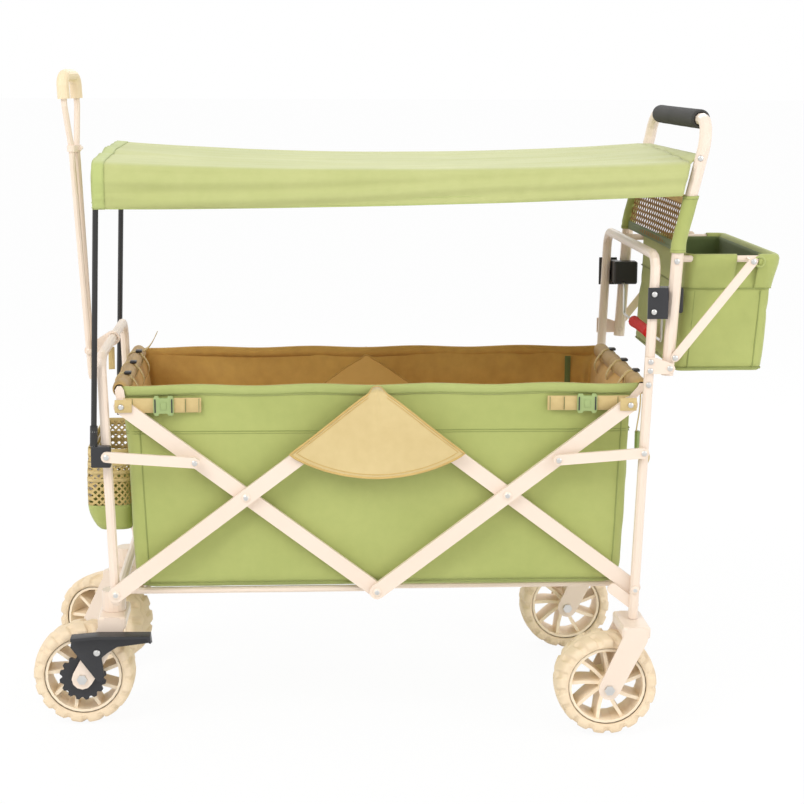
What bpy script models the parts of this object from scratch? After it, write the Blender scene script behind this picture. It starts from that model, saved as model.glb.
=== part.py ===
"""Folding camping cart with a canopy, a push handle, a rear basket and a pull handle.

Metres, Z up, +X towards the push handle, the near side at -Y.
Every piece is one closed solid; a moving piece has its origin on the axis of its joint.
"""
from math import atan2, cos, hypot, pi, radians, sin, tan

import bmesh
import bpy
from mathutils import Matrix, Vector

for old in list(bpy.data.objects):
    bpy.data.objects.remove(old)

# Fits
gap = 0.0003
seat = 0.0003
pin_radius = 0.0040
rivet_head_radius = 0.0078
rivet_head_height = 0.0026
rivet_sink = 0.0004

# Scissor sides
link_half = 0.281
open_angle = radians(37)
pivot_height = 0.253
link_width = 0.026
link_thickness = 0.010
upper_reach = 0.262
layer_gap = 0.0005
tub_half_width = 0.2215
inner_link_y = tub_half_width + 0.0045
outer_link_y = inner_link_y + link_thickness + layer_gap
short_link_width = 0.018
short_link_thickness = 0.007
short_link_height = 0.4975
short_link_drop = 0.008
short_link_on_link = 0.107

run = link_half * cos(open_angle)
rise = link_half * sin(open_angle)
front_foot = Vector((-2 * run, 0, pivot_height))
front_cross = Vector((-run, 0, pivot_height + rise))
top_middle = Vector((0, 0, pivot_height + 2 * rise))
low_middle = Vector((0, 0, pivot_height))
rear_cross = Vector((run, 0, pivot_height + rise))
rear_foot = Vector((2 * run, 0, pivot_height))
front_tip = front_cross + upper_reach * Vector((-cos(open_angle), 0, sin(open_angle)))
rear_tip = rear_cross + upper_reach * Vector((cos(open_angle), 0, sin(open_angle)))

# End frames
tube_radius = 0.0085
tube_sides = 10
bend_radius = 0.032
leg_lean = 0.038
front_leg_y = 0.2275
rear_leg_y = outer_link_y + tube_radius
front_leg_offset = 0.0020
front_bar_height = 0.664
front_cross_height = 0.235
rear_leg_offset = 0.0008
rear_bar_height = 0.835
rear_cross_height = 0.2245
lower_bar_clearance = 0.0010

# Wheels
wheel_radius = 0.089
tyre_width = 0.076
tyre_bore = 0.0675
lug_count = 18
lug_depth = 0.0040
rim_wall = 0.0045
rim_width = 0.062
hub_radius = 0.0150
spoke_count = 9
spoke_width = 0.0060
axle_radius = 0.0050
axle_head_radius = 0.0090
axle_head_height = 0.0050

# Forks
fork_width = 0.105
fork_plate = 0.0045
fork_foot_radius = 0.0185
fork_cap_thickness = 0.017
fork_cap_length = 0.049
wheel_clearance = 0.005
front_trail = 0.0535
rear_trail = 0.0450
caster_y = 0.150
caster_x = -0.461
far_caster_turn = radians(30)
rear_wheel_y = 0.250
stem_radius = 0.0070
housing_radius = 0.021
ratchet_radius = 0.041
ratchet_thickness = 0.006
ratchet_teeth = 16

# Floor rails
rail_radius = 0.0058
rail_height = 0.2505
rail_pivot_x = 0.428
front_rail_y = 0.2085
rear_rail_y = 0.1935
rail_end_x = 0.020
rail_tab = 0.0030
rail_pin_radius = 0.0028

# Tub
tub_wall = 0.0055
tub_top = 0.611
tub_bottom = 0.270
roll_radius = 0.0130
roll_front_x = -0.4375
roll_rear_x = 0.4570
roll_height = 0.606
tub_front_x = -0.4225
tub_rear_x = 0.4420
pocket_front_x = -0.504
pocket_half_width = 0.150
pocket_bottom = 0.343
pocket_top = 0.490

# Canopy
bow_radius = 0.0050
bow_y = 0.2450
bow_top = 0.9850
bow_top_x = -0.4655
bow_socket_x = -0.4800
bow_bend = 0.030
ferrule_radius = 0.0066
ferrule_top = 0.549
socket_bottom = 0.478
socket_top = 0.514
socket_length = 0.033
cloth = 0.0016
cover_half_width = 0.2520
cover_rear_x = 0.5255
cover_side_bottom_front = 0.9120
cover_side_bottom_rear = 0.9385
cover_side_wave = 0.0030
cover_front_drop = 0.024
cover_columns = 14

# Push handle
handle_radius = 0.0105
handle_y = 0.2400
handle_pivot = Vector((0.498, 0, 0.644))
handle_top = Vector((0.5500, 0, 1.062))
handle_bend = 0.045
hem_rod_radius = 0.0050
hem_rod = Vector((0.5442, 0, 0.9973))
foam_radius = 0.0165
foam_length = 0.360
hinge_plate_thickness = 0.0030
net_bottom = 0.8395
net_top = 0.933
sleeve_wall = 0.0030
lever_pivot = Vector((0.4960, 0, 0.737))
lever_pin_radius = 0.0025
lever_y = 0.1880
lever_grip_radius = 0.0110
lever_grip_length = 0.170
lever_drop = 0.057

# Basket
basket_half_width = 0.2000
basket_top = 0.830
basket_bottom = 0.629
basket_front_x = 0.5370
basket_rear_x = 0.6820
basket_wall = 0.0040
basket_bar_radius = 0.0060
basket_bar_y = basket_half_width + basket_bar_radius + seat
basket_bar_height = 0.8260
basket_bar_rear = basket_rear_x + basket_bar_radius + seat
brace_width = 0.015
brace_thickness = 0.004
brace_y = 0.2540
brace_top = Vector((0.6361, 0, 0.8260))
brace_foot = Vector((0.5068, 0, 0.6619))

# Pull handle
pull_pivot = Vector((-0.5080, 0, 0.6416))
pull_tube_radius = 0.0056
pull_spacing = 0.0130
pull_foot = 0.050
pull_top = 1.104
pull_lean = 0.053
pull_twist = 0.26
collar_height = 1.003
collar_length = 0.011
grip_top = 1.141
grip_radius = 0.0108
grip_spread = 0.030
grip_overlap = 0.014

cart_front = caster_x - front_trail - wheel_radius
cart_rear = basket_bar_rear + basket_bar_radius
cart_middle = (cart_front + cart_rear) / 2


def material(name, colour, roughness, metallic=0.0):
    made = bpy.data.materials.new(name)
    made.use_nodes = True
    shader = made.node_tree.nodes["Principled BSDF"]
    shader.inputs["Base Color"].default_value = (*colour, 1.0)
    shader.inputs["Roughness"].default_value = roughness
    shader.inputs["Metallic"].default_value = metallic
    made.diffuse_color = (*colour, 1.0)
    return made


cream = material("cream_paint", (0.86, 0.74, 0.60), 0.35)
tan_rubber = material("tan_rubber", (0.80, 0.58, 0.34), 0.70)
tan_plastic = material("tan_plastic", (0.74, 0.52, 0.30), 0.50)
green_cloth = material("green_cloth", (0.36, 0.46, 0.13), 0.85)
pale_cloth = material("pale_green_cloth", (0.55, 0.63, 0.24), 0.85)
net_cloth = material("tan_net", (0.52, 0.36, 0.15), 0.85)
black_plastic = material("black_plastic", (0.03, 0.03, 0.035), 0.45)
foam = material("black_foam", (0.05, 0.05, 0.05), 0.85)
red_plastic = material("red_plastic", (0.75, 0.05, 0.02), 0.40)
steel = material("zinc_steel", (0.60, 0.60, 0.58), 0.35, 1.0)

cart = bpy.data.objects.new("cart", None)
bpy.context.collection.objects.link(cart)
cart.location = (-cart_middle, 0, 0)


# Solids
def extruded(outline, lo, hi, axis="Y"):
    """A closed prism: the outline lies in the plane square to the axis."""
    places = {
        "X": lambda u, v, w: (w, u, v),
        "Y": lambda u, v, w: (u, w, v),
        "Z": lambda u, v, w: (u, v, w),
    }[axis]
    bm = bmesh.new()
    low = [bm.verts.new(places(u, v, lo)) for u, v in outline]
    high = [bm.verts.new(places(u, v, hi)) for u, v in outline]
    bm.faces.new(low)
    bm.faces.new(high)
    for i in range(len(outline)):
        j = (i + 1) % len(outline)
        bm.faces.new((low[i], low[j], high[j], high[i]))
    bmesh.ops.recalc_face_normals(bm, faces=bm.faces)
    return bm


def box(lo, hi):
    outline = [(lo[0], lo[1]), (hi[0], lo[1]), (hi[0], hi[1]), (lo[0], hi[1])]
    return extruded(outline, lo[2], hi[2], "Z")


def capsule(start, end, radius_start, radius_end=None, steps=6):
    """An outline round two points of a plane, with a half circle at each end."""
    radius_end = radius_start if radius_end is None else radius_end
    heading = atan2(end[1] - start[1], end[0] - start[0])
    outline = []
    for centre, radius, first in ((start, radius_start, pi / 2), (end, radius_end, -pi / 2)):
        for step in range(steps + 1):
            angle = heading + first + pi * step / steps
            outline.append((centre[0] + radius * cos(angle), centre[1] + radius * sin(angle)))
    return outline


def disc(centre, radius, sides=12):
    return [
        (centre[0] + radius * cos(2 * pi * i / sides), centre[1] + radius * sin(2 * pi * i / sides))
        for i in range(sides)
    ]


def plan(point):
    """The X and Z of a point, for outlines in the side view."""
    return (point[0], point[2])


def pin(point, lo, hi, radius=pin_radius, sides=8):
    return extruded(disc(plan(point), radius, sides), min(lo, hi), max(lo, hi))


def bore(point, lo, hi, radius=pin_radius, sides=8):
    """A cutter whose flats clear a round pin of the radius by the running gap."""
    return pin(point, lo, hi, (radius + gap) / cos(pi / sides), sides)


def domed_rivet(point, face, outward, radius=rivet_head_radius, height=rivet_head_height):
    """A low round head that stands on the face at Y and rises outward along Y."""
    bm = bmesh.new()
    sides = 8
    rings = []
    for reach, share in ((-rivet_sink, 1.0), (height * 0.45, 1.0), (height, 0.60)):
        y = face + outward * reach
        spots = disc(plan(point), radius * share, sides)
        rings.append([bm.verts.new((u, y, v)) for u, v in spots])
    bm.faces.new(rings[0])
    bm.faces.new(rings[-1])
    for low, high in zip(rings, rings[1:]):
        for i in range(sides):
            j = (i + 1) % sides
            bm.faces.new((low[i], low[j], high[j], high[i]))
    bmesh.ops.recalc_face_normals(bm, faces=bm.faces)
    return bm


def bent(corners, radius, steps=4):
    """The path through the corners, with each inner corner rounded to the radius."""
    corners = [Vector(c) for c in corners]
    path = [corners[0]]
    for before, corner, after in zip(corners, corners[1:], corners[2:]):
        into = (before - corner).normalized()
        out = (after - corner).normalized()
        half = into.angle(out) / 2
        if half > radians(85):
            path.append(corner)
            continue
        reach = radius / tan(half)
        centre = corner + (into + out).normalized() * (radius / sin(half))
        first = corner + into * reach - centre
        last = corner + out * reach - centre
        sweep_angle = first.angle(last)
        for step in range(steps + 1):
            share = step / steps
            spoke = first * sin((1 - share) * sweep_angle) + last * sin(share * sweep_angle)
            path.append(centre + spoke / sin(sweep_angle))
    path.append(corners[-1])
    return path


def tube(path, radius, sides=tube_sides, closed=False):
    """A round bar along the path; radius may be one value or one for each point."""
    path = [Vector(p) for p in path]
    count = len(path)
    radii = radius if isinstance(radius, (list, tuple)) else [radius] * count
    heads = []
    for i in range(count):
        before = path[i - 1] if (i > 0 or closed) else path[i]
        after = path[(i + 1) % count] if (i < count - 1 or closed) else path[i]
        heads.append((after - before).normalized())
    side = heads[0].orthogonal().normalized()
    bm = bmesh.new()
    rings = []
    for i, (point, head) in enumerate(zip(path, heads)):
        side = (side - head * side.dot(head)).normalized()
        up = head.cross(side)
        stretch = 1.0
        if 0 < i < count - 1 or closed:
            into = (path[i] - path[i - 1]).normalized()
            stretch = 1 / max(0.5, into.dot(head))
        ring = []
        turn = (path[(i + 1) % count] - point).normalized() if i < count - 1 else head
        inward = (turn - head * turn.dot(head))
        inward = inward.normalized() if inward.length > 1e-6 else Vector((0, 0, 0))
        for k in range(sides):
            angle = 2 * pi * (k + 0.5) / sides
            offset = side * cos(angle) + up * sin(angle)
            offset += inward * offset.dot(inward) * (stretch - 1)
            ring.append(bm.verts.new(point + offset * radii[i]))
        rings.append(ring)
    for low, high in zip(rings, rings[1:] + (rings[:1] if closed else [])):
        for k in range(sides):
            m = (k + 1) % sides
            bm.faces.new((low[k], low[m], high[m], high[k]))
    if not closed:
        bm.faces.new(rings[0])
        bm.faces.new(rings[-1])
    bmesh.ops.recalc_face_normals(bm, faces=bm.faces)
    return bm


def turned(profile, centre, steps, axis="Y", ripple=None):
    """A closed ring: the (radius, along) profile turned about an axis through the centre."""
    bm = bmesh.new()
    rings = []
    for step in range(steps):
        angle = 2 * pi * step / steps
        ring = []
        for number, (radius, along) in enumerate(profile):
            if ripple:
                radius, along = ripple(number, radius, along, angle)
            spot = (radius * cos(angle), along, radius * sin(angle))
            if axis == "Z":
                spot = (radius * cos(angle), radius * sin(angle), along)
            ring.append(bm.verts.new(Vector(centre) + Vector(spot)))
        rings.append(ring)
    for low, high in zip(rings, rings[1:] + rings[:1]):
        for i in range(len(profile)):
            j = (i + 1) % len(profile)
            bm.faces.new((low[i], low[j], high[j], high[i]))
    bmesh.ops.recalc_face_normals(bm, faces=bm.faces)
    return bm


def as_object(bm):
    mesh = bpy.data.meshes.new("shape")
    bm.to_mesh(mesh)
    bm.free()
    made = bpy.data.objects.new("shape", mesh)
    bpy.context.collection.objects.link(made)
    return made


def combined(base, tools, operation):
    """The base after a union or a cut with each tool, as one mesh."""
    body = as_object(base)
    helpers = [as_object(tool) for tool in tools]
    for helper in helpers:
        step = body.modifiers.new("step", "BOOLEAN")
        step.operation = operation
        step.solver = "EXACT"
        step.object = helper
    bpy.context.view_layer.update()
    finished = body.evaluated_get(bpy.context.evaluated_depsgraph_get())
    result = bmesh.new()
    result.from_mesh(finished.to_mesh())
    finished.to_mesh_clear()
    for helper in helpers + [body]:
        bpy.data.objects.remove(helper)
    bmesh.ops.remove_doubles(result, verts=result.verts, dist=1e-6)
    return result


def union(base, *tools):
    return combined(base, tools, "UNION")


def cut(base, *tools):
    return combined(base, tools, "DIFFERENCE")


def pivot_empty(name, spot, turn=0.0):
    """A holder for pieces that turn together, with its Z axis on their swivel."""
    made = bpy.data.objects.new(name, None)
    bpy.context.collection.objects.link(made)
    made.location = spot
    made.rotation_euler = (0, 0, turn)
    made.parent = cart
    return made


def piece(name, bm, paint, origin=(0, 0, 0), holder=cart):
    """Adds one named solid, modelled in the cart's place, with its origin where it turns."""
    origin = Vector(origin)
    bmesh.ops.translate(bm, verts=bm.verts, vec=-origin)
    mesh = bpy.data.meshes.new(name)
    bm.to_mesh(mesh)
    bm.free()
    mesh.shade_smooth()
    mesh.set_sharp_from_angle(angle=radians(35))
    mesh.materials.append(paint)
    made = bpy.data.objects.new(name, mesh)
    bpy.context.collection.objects.link(made)
    made.location = origin if holder is cart else origin - holder.location
    made.parent = holder
    return made


sides_of_cart = (("near", -1), ("far", 1))


def front_leg(z):
    """The front frame's tube axis at a height: it leans back as it rises."""
    x = front_foot.x - front_leg_offset - (z - pivot_height) * leg_lean
    return x


def rear_leg(z):
    return rear_foot.x + rear_leg_offset + (z - pivot_height) * leg_lean


def push_leg(z):
    """The push handle's leg: it leans back, and more so above the net panel."""
    lower = 0.4986 + (z - 0.6586) * 0.058
    upper = 0.5110 + (z - 0.8600) * 0.2370
    return max(lower, upper)


# Front end frame
def front_frame_tube():
    low = front_cross_height
    high = front_bar_height
    corners = []
    for y, z in ((-1, low), (-1, high), (1, high), (1, low)):
        corners.append((front_leg(z), y * front_leg_y, z))
    body = tube(bent(corners, bend_radius), tube_radius)
    bar_reach = front_leg_y - tube_radius * 0.3
    bar = tube(
        [(front_leg(low), -bar_reach, low + lower_bar_clearance),
         (front_leg(low), bar_reach, low + lower_bar_clearance)],
        tube_radius,
    )
    added = [bar]
    holes = []
    housing_low = fork_top() + seat
    housing_high = front_cross_height + 0.002
    for _, side in sides_of_cart:
        centre = (caster_x, side * caster_y)
        added.append(extruded(disc(centre, housing_radius, 16), housing_low, housing_high, "Z"))
        holes.append(extruded(disc(centre, stem_radius + 2 * gap, 12), housing_low - 0.01,
                              stem_top() + gap, "Z"))
        inner = side * (front_leg_y - 2 * tube_radius)
        outer = side * (front_leg_y + 2 * tube_radius)
        holes.append(bore(front_foot, inner, outer))
        holes.append(bore(front_short_foot(), inner, outer))
        ear, ear_bore = rail_tab_parts(side, (front_leg(low), low), -rail_pivot_x, front_rail_y, -1)
        added.append(ear)
        holes.append(ear_bore)
    body = cut(union(body, *added), *holes)
    piece("front_frame_tube", body, cream, front_foot)


def fork_top():
    return 2 * wheel_radius + wheel_clearance + fork_cap_thickness


def stem_top():
    return front_cross_height - tube_radius - 0.002


def front_short_foot():
    return Vector((front_leg(short_link_height) + 0.0020, 0, short_link_height))


def rear_short_foot():
    return Vector((rear_leg(short_link_height) - 0.0020, 0, short_link_height))


def front_short_tip():
    return front_cross + short_link_on_link * Vector((-cos(open_angle), 0, sin(open_angle)))


def rear_short_tip():
    return rear_cross + short_link_on_link * Vector((cos(open_angle), 0, sin(open_angle)))


def pole_socket(name, side):
    inner = front_leg_y + tube_radius + gap
    outer = outer_link_y + 2 * tube_radius
    x = bow_x(socket_top)
    lo_x = x - ferrule_radius + 0.002
    lo = (lo_x, min(side * inner, side * outer), socket_bottom)
    hi = (lo_x + socket_length, max(side * inner, side * outer), socket_top)
    body = box(lo, hi)
    bmesh.ops.bevel(body, geom=body.edges[:], offset=0.0015, segments=1, affect="EDGES")
    spigot = extruded(disc((x, side * bow_y), bow_radius + gap, 12), socket_bottom + 0.008,
                      socket_top + 0.01, "Z")
    rivet = bore(front_short_foot(), side * (inner - 0.01), side * (outer + 0.01))
    piece("pole_socket_" + name, cut(body, spigot, rivet), black_plastic, (x, side * bow_y, socket_top))


# Canopy bow
def bow_x(z):
    share = (z - socket_top) / (bow_top - socket_top)
    return bow_socket_x + (bow_top_x - bow_socket_x) * share


def canopy_bow():
    spigot_low = socket_bottom + 0.008 + gap
    corners = [(bow_x(socket_top), -bow_y, spigot_low), (bow_x(socket_top), -bow_y, socket_top),
               (bow_top_x, -bow_y, bow_top), (bow_top_x, bow_y, bow_top),
               (bow_x(socket_top), bow_y, socket_top), (bow_x(socket_top), bow_y, spigot_low)]
    body = tube(bent(corners, bow_bend), bow_radius, 8)
    ferrules = []
    for _, side in sides_of_cart:
        path = [(bow_x(z), side * bow_y, z) for z in (socket_top + seat, ferrule_top)]
        ferrules.append(tube(path, ferrule_radius, 12))
    piece("canopy_bow", union(body, *ferrules), black_plastic)


def cover_height(x, y):
    """Height of the canopy's cloth: held at both hems, with a slack fold between."""
    front = bow_top_x
    rear = hem_rod.x
    share = (x - front) / (rear - front)
    held_front = bow_top + bow_radius + cloth
    held_rear = hem_rod.z + hem_rod_radius + cloth
    line = held_front + (held_rear - held_front) * share
    across = y / cover_half_width
    sag = 0.0160 * sin(pi * share) ** 0.8
    crown = 0.0040 * (1 - across ** 2) * sin(pi * share)
    fold = 0.0016 * sin(5 * pi * share) * sin(pi * share)
    return line - sag + crown + fold


def canopy_cover():
    """Top cloth with two hanging side flaps, a front flap and the hem round the rear rod."""
    front_x = bow_top_x - bow_radius - 2 * cloth
    half = cover_half_width
    shares_across = (-0.985, -0.7, -0.35, 0.0, 0.35, 0.7, 0.985)
    stations = [front_x] + [bow_top_x + (cover_rear_x - bow_top_x) * i / cover_columns
                            for i in range(cover_columns + 1)]
    bm = bmesh.new()
    rows = []
    for x in stations:
        held_x = max(x, bow_top_x)
        share = (held_x - bow_top_x) / (cover_rear_x - bow_top_x)
        rise_share = min(1.0, share * 2.2)
        bottom = cover_side_bottom_front + (cover_side_bottom_rear
                                            - cover_side_bottom_front) * rise_share
        wave = cover_side_wave * sin(3.5 * pi * share) * sin(pi * share)
        tucked = 0.006 if x < bow_top_x else 0.0
        top = cover_height(held_x, half) - 0.004 - tucked
        section = [(-half - wave, bottom), (-half - wave * 0.4, (bottom + top) / 2), (-half, top)]
        for k in shares_across:
            section.append((k * half, cover_height(held_x, k * half) - tucked * 0.6))
        section += [(-y, z) for y, z in reversed(section[:3])]
        rows.append([bm.verts.new((x, y, z)) for y, z in section])
    for low, high in zip(rows, rows[1:]):
        for a, b, c, d in zip(low, low[1:], high[1:], high):
            bm.faces.new((a, b, c, d))

    def hung(edge, spots):
        """More cloth from an edge, one row for each offset point."""
        for x, z in spots:
            lower = [bm.verts.new((x, v.co.y, z)) for v in edge]
            for a, b, c, d in zip(edge, edge[1:], lower[1:], lower):
                bm.faces.new((a, b, c, d))
            edge = lower

    wrap = hem_rod_radius + cloth
    hung(rows[-1][4:-4], [(hem_rod.x + wrap * cos(radians(a)), hem_rod.z + wrap * sin(radians(a)))
                          for a in (115, 80, 40, 0, -35)])
    front_top = rows[0][4].co.z
    hung(rows[0][4:-4], [(front_x, front_top - drop) for drop in (0.012, cover_front_drop)])
    bmesh.ops.recalc_face_normals(bm, faces=bm.faces)
    upward = max(bm.faces, key=lambda f: f.calc_center_median().z)
    if upward.normal.z < 0:
        bmesh.ops.reverse_faces(bm, faces=bm.faces)
    made = piece("canopy_cover", bm, pale_cloth, (bow_top_x, 0, bow_top))
    shell = made.modifiers.new("cloth", "SOLIDIFY")
    shell.thickness = cloth
    shell.offset = 1.0


# Scissor links
def link_body(start, end, side, y_inner, holes=()):
    lo, hi = sorted((side * y_inner, side * (y_inner + link_thickness)))
    body = extruded(capsule(plan(start), plan(end), link_width / 2), lo, hi)
    if holes:
        body = cut(body, *[bore(h, lo - 0.005, hi + 0.005) for h in holes])
    return body


def through_rivet(point, side, outer_face, inner_face, head_inside=True):
    """A rivet with its shank running inward to a head that keeps the inner link on."""
    end = inner_face - gap - rivet_sink
    parts = [pin(point, side * (outer_face - 0.001), side * (end - 0.0006)),
             domed_rivet(point, side * outer_face, side)]
    if head_inside:
        parts.append(domed_rivet(point, side * end, -side, height=0.0022))
    return parts


def links(name, side):
    outer_face = outer_link_y + link_thickness
    leg_inner = front_leg_y - tube_radius
    b = union(
        link_body(front_foot, top_middle, side, outer_link_y),
        *through_rivet(front_foot, side, outer_face, leg_inner + 0.002, False),
        *through_rivet(front_cross, side, outer_face, inner_link_y),
        *through_rivet(top_middle, side, outer_face, inner_link_y),
    )
    piece("link_b_" + name, b, cream, front_foot)
    d = union(
        link_body(low_middle, rear_tip, side, outer_link_y),
        *through_rivet(low_middle, side, outer_face, inner_link_y),
        *through_rivet(rear_cross, side, outer_face, inner_link_y),
        *through_rivet(rear_tip, side, outer_face, tub_half_width + 0.0042, False),
    )
    piece("link_d_" + name, d, cream, rear_cross)
    a_face = inner_link_y + link_thickness
    a = union(
        link_body(low_middle, front_tip, side, inner_link_y, (low_middle, front_cross)),
        *through_rivet(front_tip, side, a_face, tub_half_width + 0.0042, False),
    )
    piece("link_a_" + name, a, cream, front_cross)
    c = link_body(top_middle, rear_foot, side, inner_link_y, (top_middle, rear_cross, rear_foot))
    piece("link_c_" + name, c, cream, top_middle)


def short_links(name, side):
    inner = outer_link_y + 2 * tube_radius + 0.001
    outer = inner + short_link_thickness
    ends = (
        ("front", front_short_foot(), front_short_tip(), front_leg_y - tube_radius,
         inner_link_y + link_thickness + gap),
        ("rear", rear_short_foot(), rear_short_tip(), outer_link_y,
         outer_link_y + link_thickness + gap),
    )
    for end, foot, tip, foot_depth, tip_depth in ends:
        lo, hi = sorted((side * inner, side * outer))
        body = extruded(capsule(plan(foot), plan(tip), short_link_width / 2), lo, hi)
        body = union(
            body,
            pin(foot, side * foot_depth, side * (outer - 0.001)),
            pin(tip, side * tip_depth, side * (outer - 0.001)),
            domed_rivet(foot, side * outer, side, 0.0062, 0.0022),
            domed_rivet(tip, side * outer, side, 0.0062, 0.0022),
        )
        piece("short_link_" + end + "_" + name, body, cream, foot)


# Rear end frame
def rear_frame_tube():
    low = fork_top() + seat + tube_radius * leg_lean
    high = rear_bar_height
    corners = []
    for y, z in ((-1, low), (-1, high), (1, high), (1, low)):
        corners.append((rear_leg(z), y * rear_leg_y, z))
    body = tube(bent(corners, bend_radius), tube_radius)
    bar_reach = rear_leg_y - tube_radius * 0.3
    bar_x = rear_leg(rear_cross_height)
    bar = tube([(bar_x, -bar_reach, rear_cross_height), (bar_x, bar_reach, rear_cross_height)],
               tube_radius)
    added = [bar]
    holes = []
    leg_outer = rear_leg_y + tube_radius
    for _, side in sides_of_cart:
        shank_end = inner_link_y - 0.001
        added.append(pin(rear_foot, side * shank_end, side * (leg_outer - 0.001)))
        added.append(domed_rivet(rear_foot, side * leg_outer, side, height=0.003))
        holes.append(bore(rear_short_foot(), side * (outer_link_y - 0.01), side * (leg_outer + 0.01)))
        gusset = capsule((bar_x, rear_cross_height), (rear_foot.x - 0.037, pivot_height), 0.0095)
        gusset_inner = outer_link_y + 0.003
        added.append(extruded(gusset, *sorted((side * gusset_inner, side * (gusset_inner + 0.005)))))
        ear, ear_bore = rail_tab_parts(side, (bar_x, rear_cross_height), rail_pivot_x, rear_rail_y, 1)
        added.append(ear)
        holes.append(ear_bore)
    body = cut(union(body, *added), *holes)
    piece("rear_frame_tube", body, cream, rear_foot)


# Wheels
def fork(name, spot, cap_x, centre_y, holder, origin, with_stem):
    """A cap over the wheel with two flat slanted legs and round feet."""
    outer = fork_width / 2
    inner = outer - fork_plate
    cap_top = fork_top()
    cap_low = cap_top - fork_cap_thickness
    half_cap = fork_cap_length / 2
    side_view = capsule(plan(spot), (cap_x, cap_low), fork_foot_radius, half_cap * 0.86)
    body = extruded(side_view, centre_y - outer, centre_y + outer)
    cap = box((cap_x - half_cap, centre_y - outer + 0.0004, cap_low - 0.004),
              (cap_x + half_cap, centre_y + outer - 0.0004, cap_top))
    bmesh.ops.bevel(cap, geom=cap.edges[:], offset=0.003, segments=1, affect="EDGES")
    above = box((-2, centre_y - 1, cap_top - 0.0002), (2, centre_y + 1, 1))
    hollow = box((spot[0] - 0.3, centre_y - inner, 0), (spot[0] + 0.3, centre_y + inner, cap_low))
    through = bore(spot, centre_y - outer - 0.01, centre_y + outer + 0.01, axle_radius, 12)
    body = cut(union(cut(body, above), cap), hollow, through)
    if with_stem:
        stem = extruded(disc((cap_x, centre_y), stem_radius, 12), cap_top - 0.002, stem_top(), "Z")
        body = union(body, stem)
    piece(name, body, cream, origin, holder)


def tyre(name, spot, centre_y, holder):
    """A fat tyre: the tread's blocks run out over both shoulders as waves."""
    half = tyre_width / 2
    r = wheel_radius
    profile = [(tyre_bore, -rim_width / 2), (tyre_bore + 0.008, -half), (r - 0.012, -half),
               (r - 0.003, -half * 0.84), (r, -half * 0.55), (r - lug_depth, -half * 0.14),
               (r - lug_depth, half * 0.14), (r, half * 0.55), (r - 0.003, half * 0.84),
               (r - 0.012, half), (tyre_bore + 0.008, half), (tyre_bore, rim_width / 2)]
    shoulder, crest, edge = (2, 9), (3, 8), (4, 7)

    def ripple(number, radius, along, angle):
        wave = 0.5 + 0.5 * cos(lug_count * angle + (0 if along < 0 else pi))
        if number in shoulder:
            return radius, along * (1 - 0.085 * wave)
        if number in crest:
            return radius - 0.35 * lug_depth * wave, along * (1 - 0.06 * wave)
        if number in edge:
            return radius - 0.2 * lug_depth * wave, along * (1 - 0.30 * wave)
        return radius, along

    centre = Vector((spot[0], centre_y, spot[2]))
    piece(name, turned(profile, centre, lug_count * 2, ripple=ripple), tan_rubber, centre, holder)


def spoke(spot, centre_y, angle, inner, half_depth):
    """One curved blade from the hub to the rim's band."""
    stations = (0.0, 0.5, 1.0)
    sweep_back = 0.28
    first = hub_radius - 0.002
    last = inner + 0.002
    line = []
    for share in stations:
        radius = first + (last - first) * share
        swept = angle + sweep_back * sin(pi * share / 2)
        line.append(Vector((spot[0] + radius * cos(swept), spot[2] + radius * sin(swept))))
    left = []
    right = []
    for k, point in enumerate(line):
        along = (line[min(len(line) - 1, k + 1)] - line[max(0, k - 1)]).normalized()
        across = Vector((-along.y, along.x)) * spoke_width / 2
        left.append(tuple(point + across))
        right.append(tuple(point - across))
    return extruded(left + right[::-1], centre_y - half_depth, centre_y + half_depth)


def rim(name, spot, centre_y, holder):
    half = rim_width / 2
    outer = tyre_bore - gap
    inner = outer - rim_wall
    spoke_inset = 0.006
    centre = Vector((spot[0], centre_y, spot[2]))
    body = turned([(inner, -half), (outer, -half), (outer, half), (inner, half)], centre, 27)
    hub_half = fork_width / 2 - fork_plate - 0.0012
    inner_hub = axle_radius + gap
    hub = turned([(inner_hub, -hub_half), (hub_radius, -hub_half), (hub_radius, hub_half),
                  (inner_hub, hub_half)], centre, 16)
    blades = [spoke(spot, centre_y, 2 * pi * i / spoke_count, inner, half - spoke_inset)
              for i in range(spoke_count)]
    piece(name, union(body, hub, *blades), tan_plastic, centre, holder)


def axle(name, spot, centre_y, holder):
    face = fork_width / 2 + gap
    heads = [extruded(disc(plan(spot), axle_head_radius, 6),
                      *sorted((centre_y + s * face, centre_y + s * (face + axle_head_height))))
             for s in (-1, 1)]
    shank = pin(spot, centre_y - face - 0.001, centre_y + face + 0.001, axle_radius, 12)
    piece(name, union(shank, *heads), steel, Vector((spot[0], centre_y, spot[2])), holder)


def ratchet_disc(name, spot, centre_y, holder, outward):
    """The toothed brake disc that stands between the rim and the fork's outer leg."""
    middle = (rim_width / 2 + fork_width / 2 - fork_plate) / 2
    lo, hi = sorted((centre_y + outward * (middle - ratchet_thickness / 2),
                     centre_y + outward * (middle + ratchet_thickness / 2)))
    outline = []
    for tooth in range(ratchet_teeth):
        for share, reach in ((0.0, 0.88), (0.30, 1.0), (0.70, 1.0), (1.0, 0.88)):
            angle = 2 * pi * (tooth + share * 0.8) / ratchet_teeth
            outline.append((spot[0] + ratchet_radius * reach * cos(angle),
                            spot[2] + ratchet_radius * reach * sin(angle)))
    centre = Vector((spot[0], centre_y, spot[2]))
    body = cut(extruded(outline, lo, hi), pin(spot, lo - 0.01, hi + 0.01, hub_radius + gap, 18))
    piece(name, body, black_plastic, centre, holder)


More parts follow.
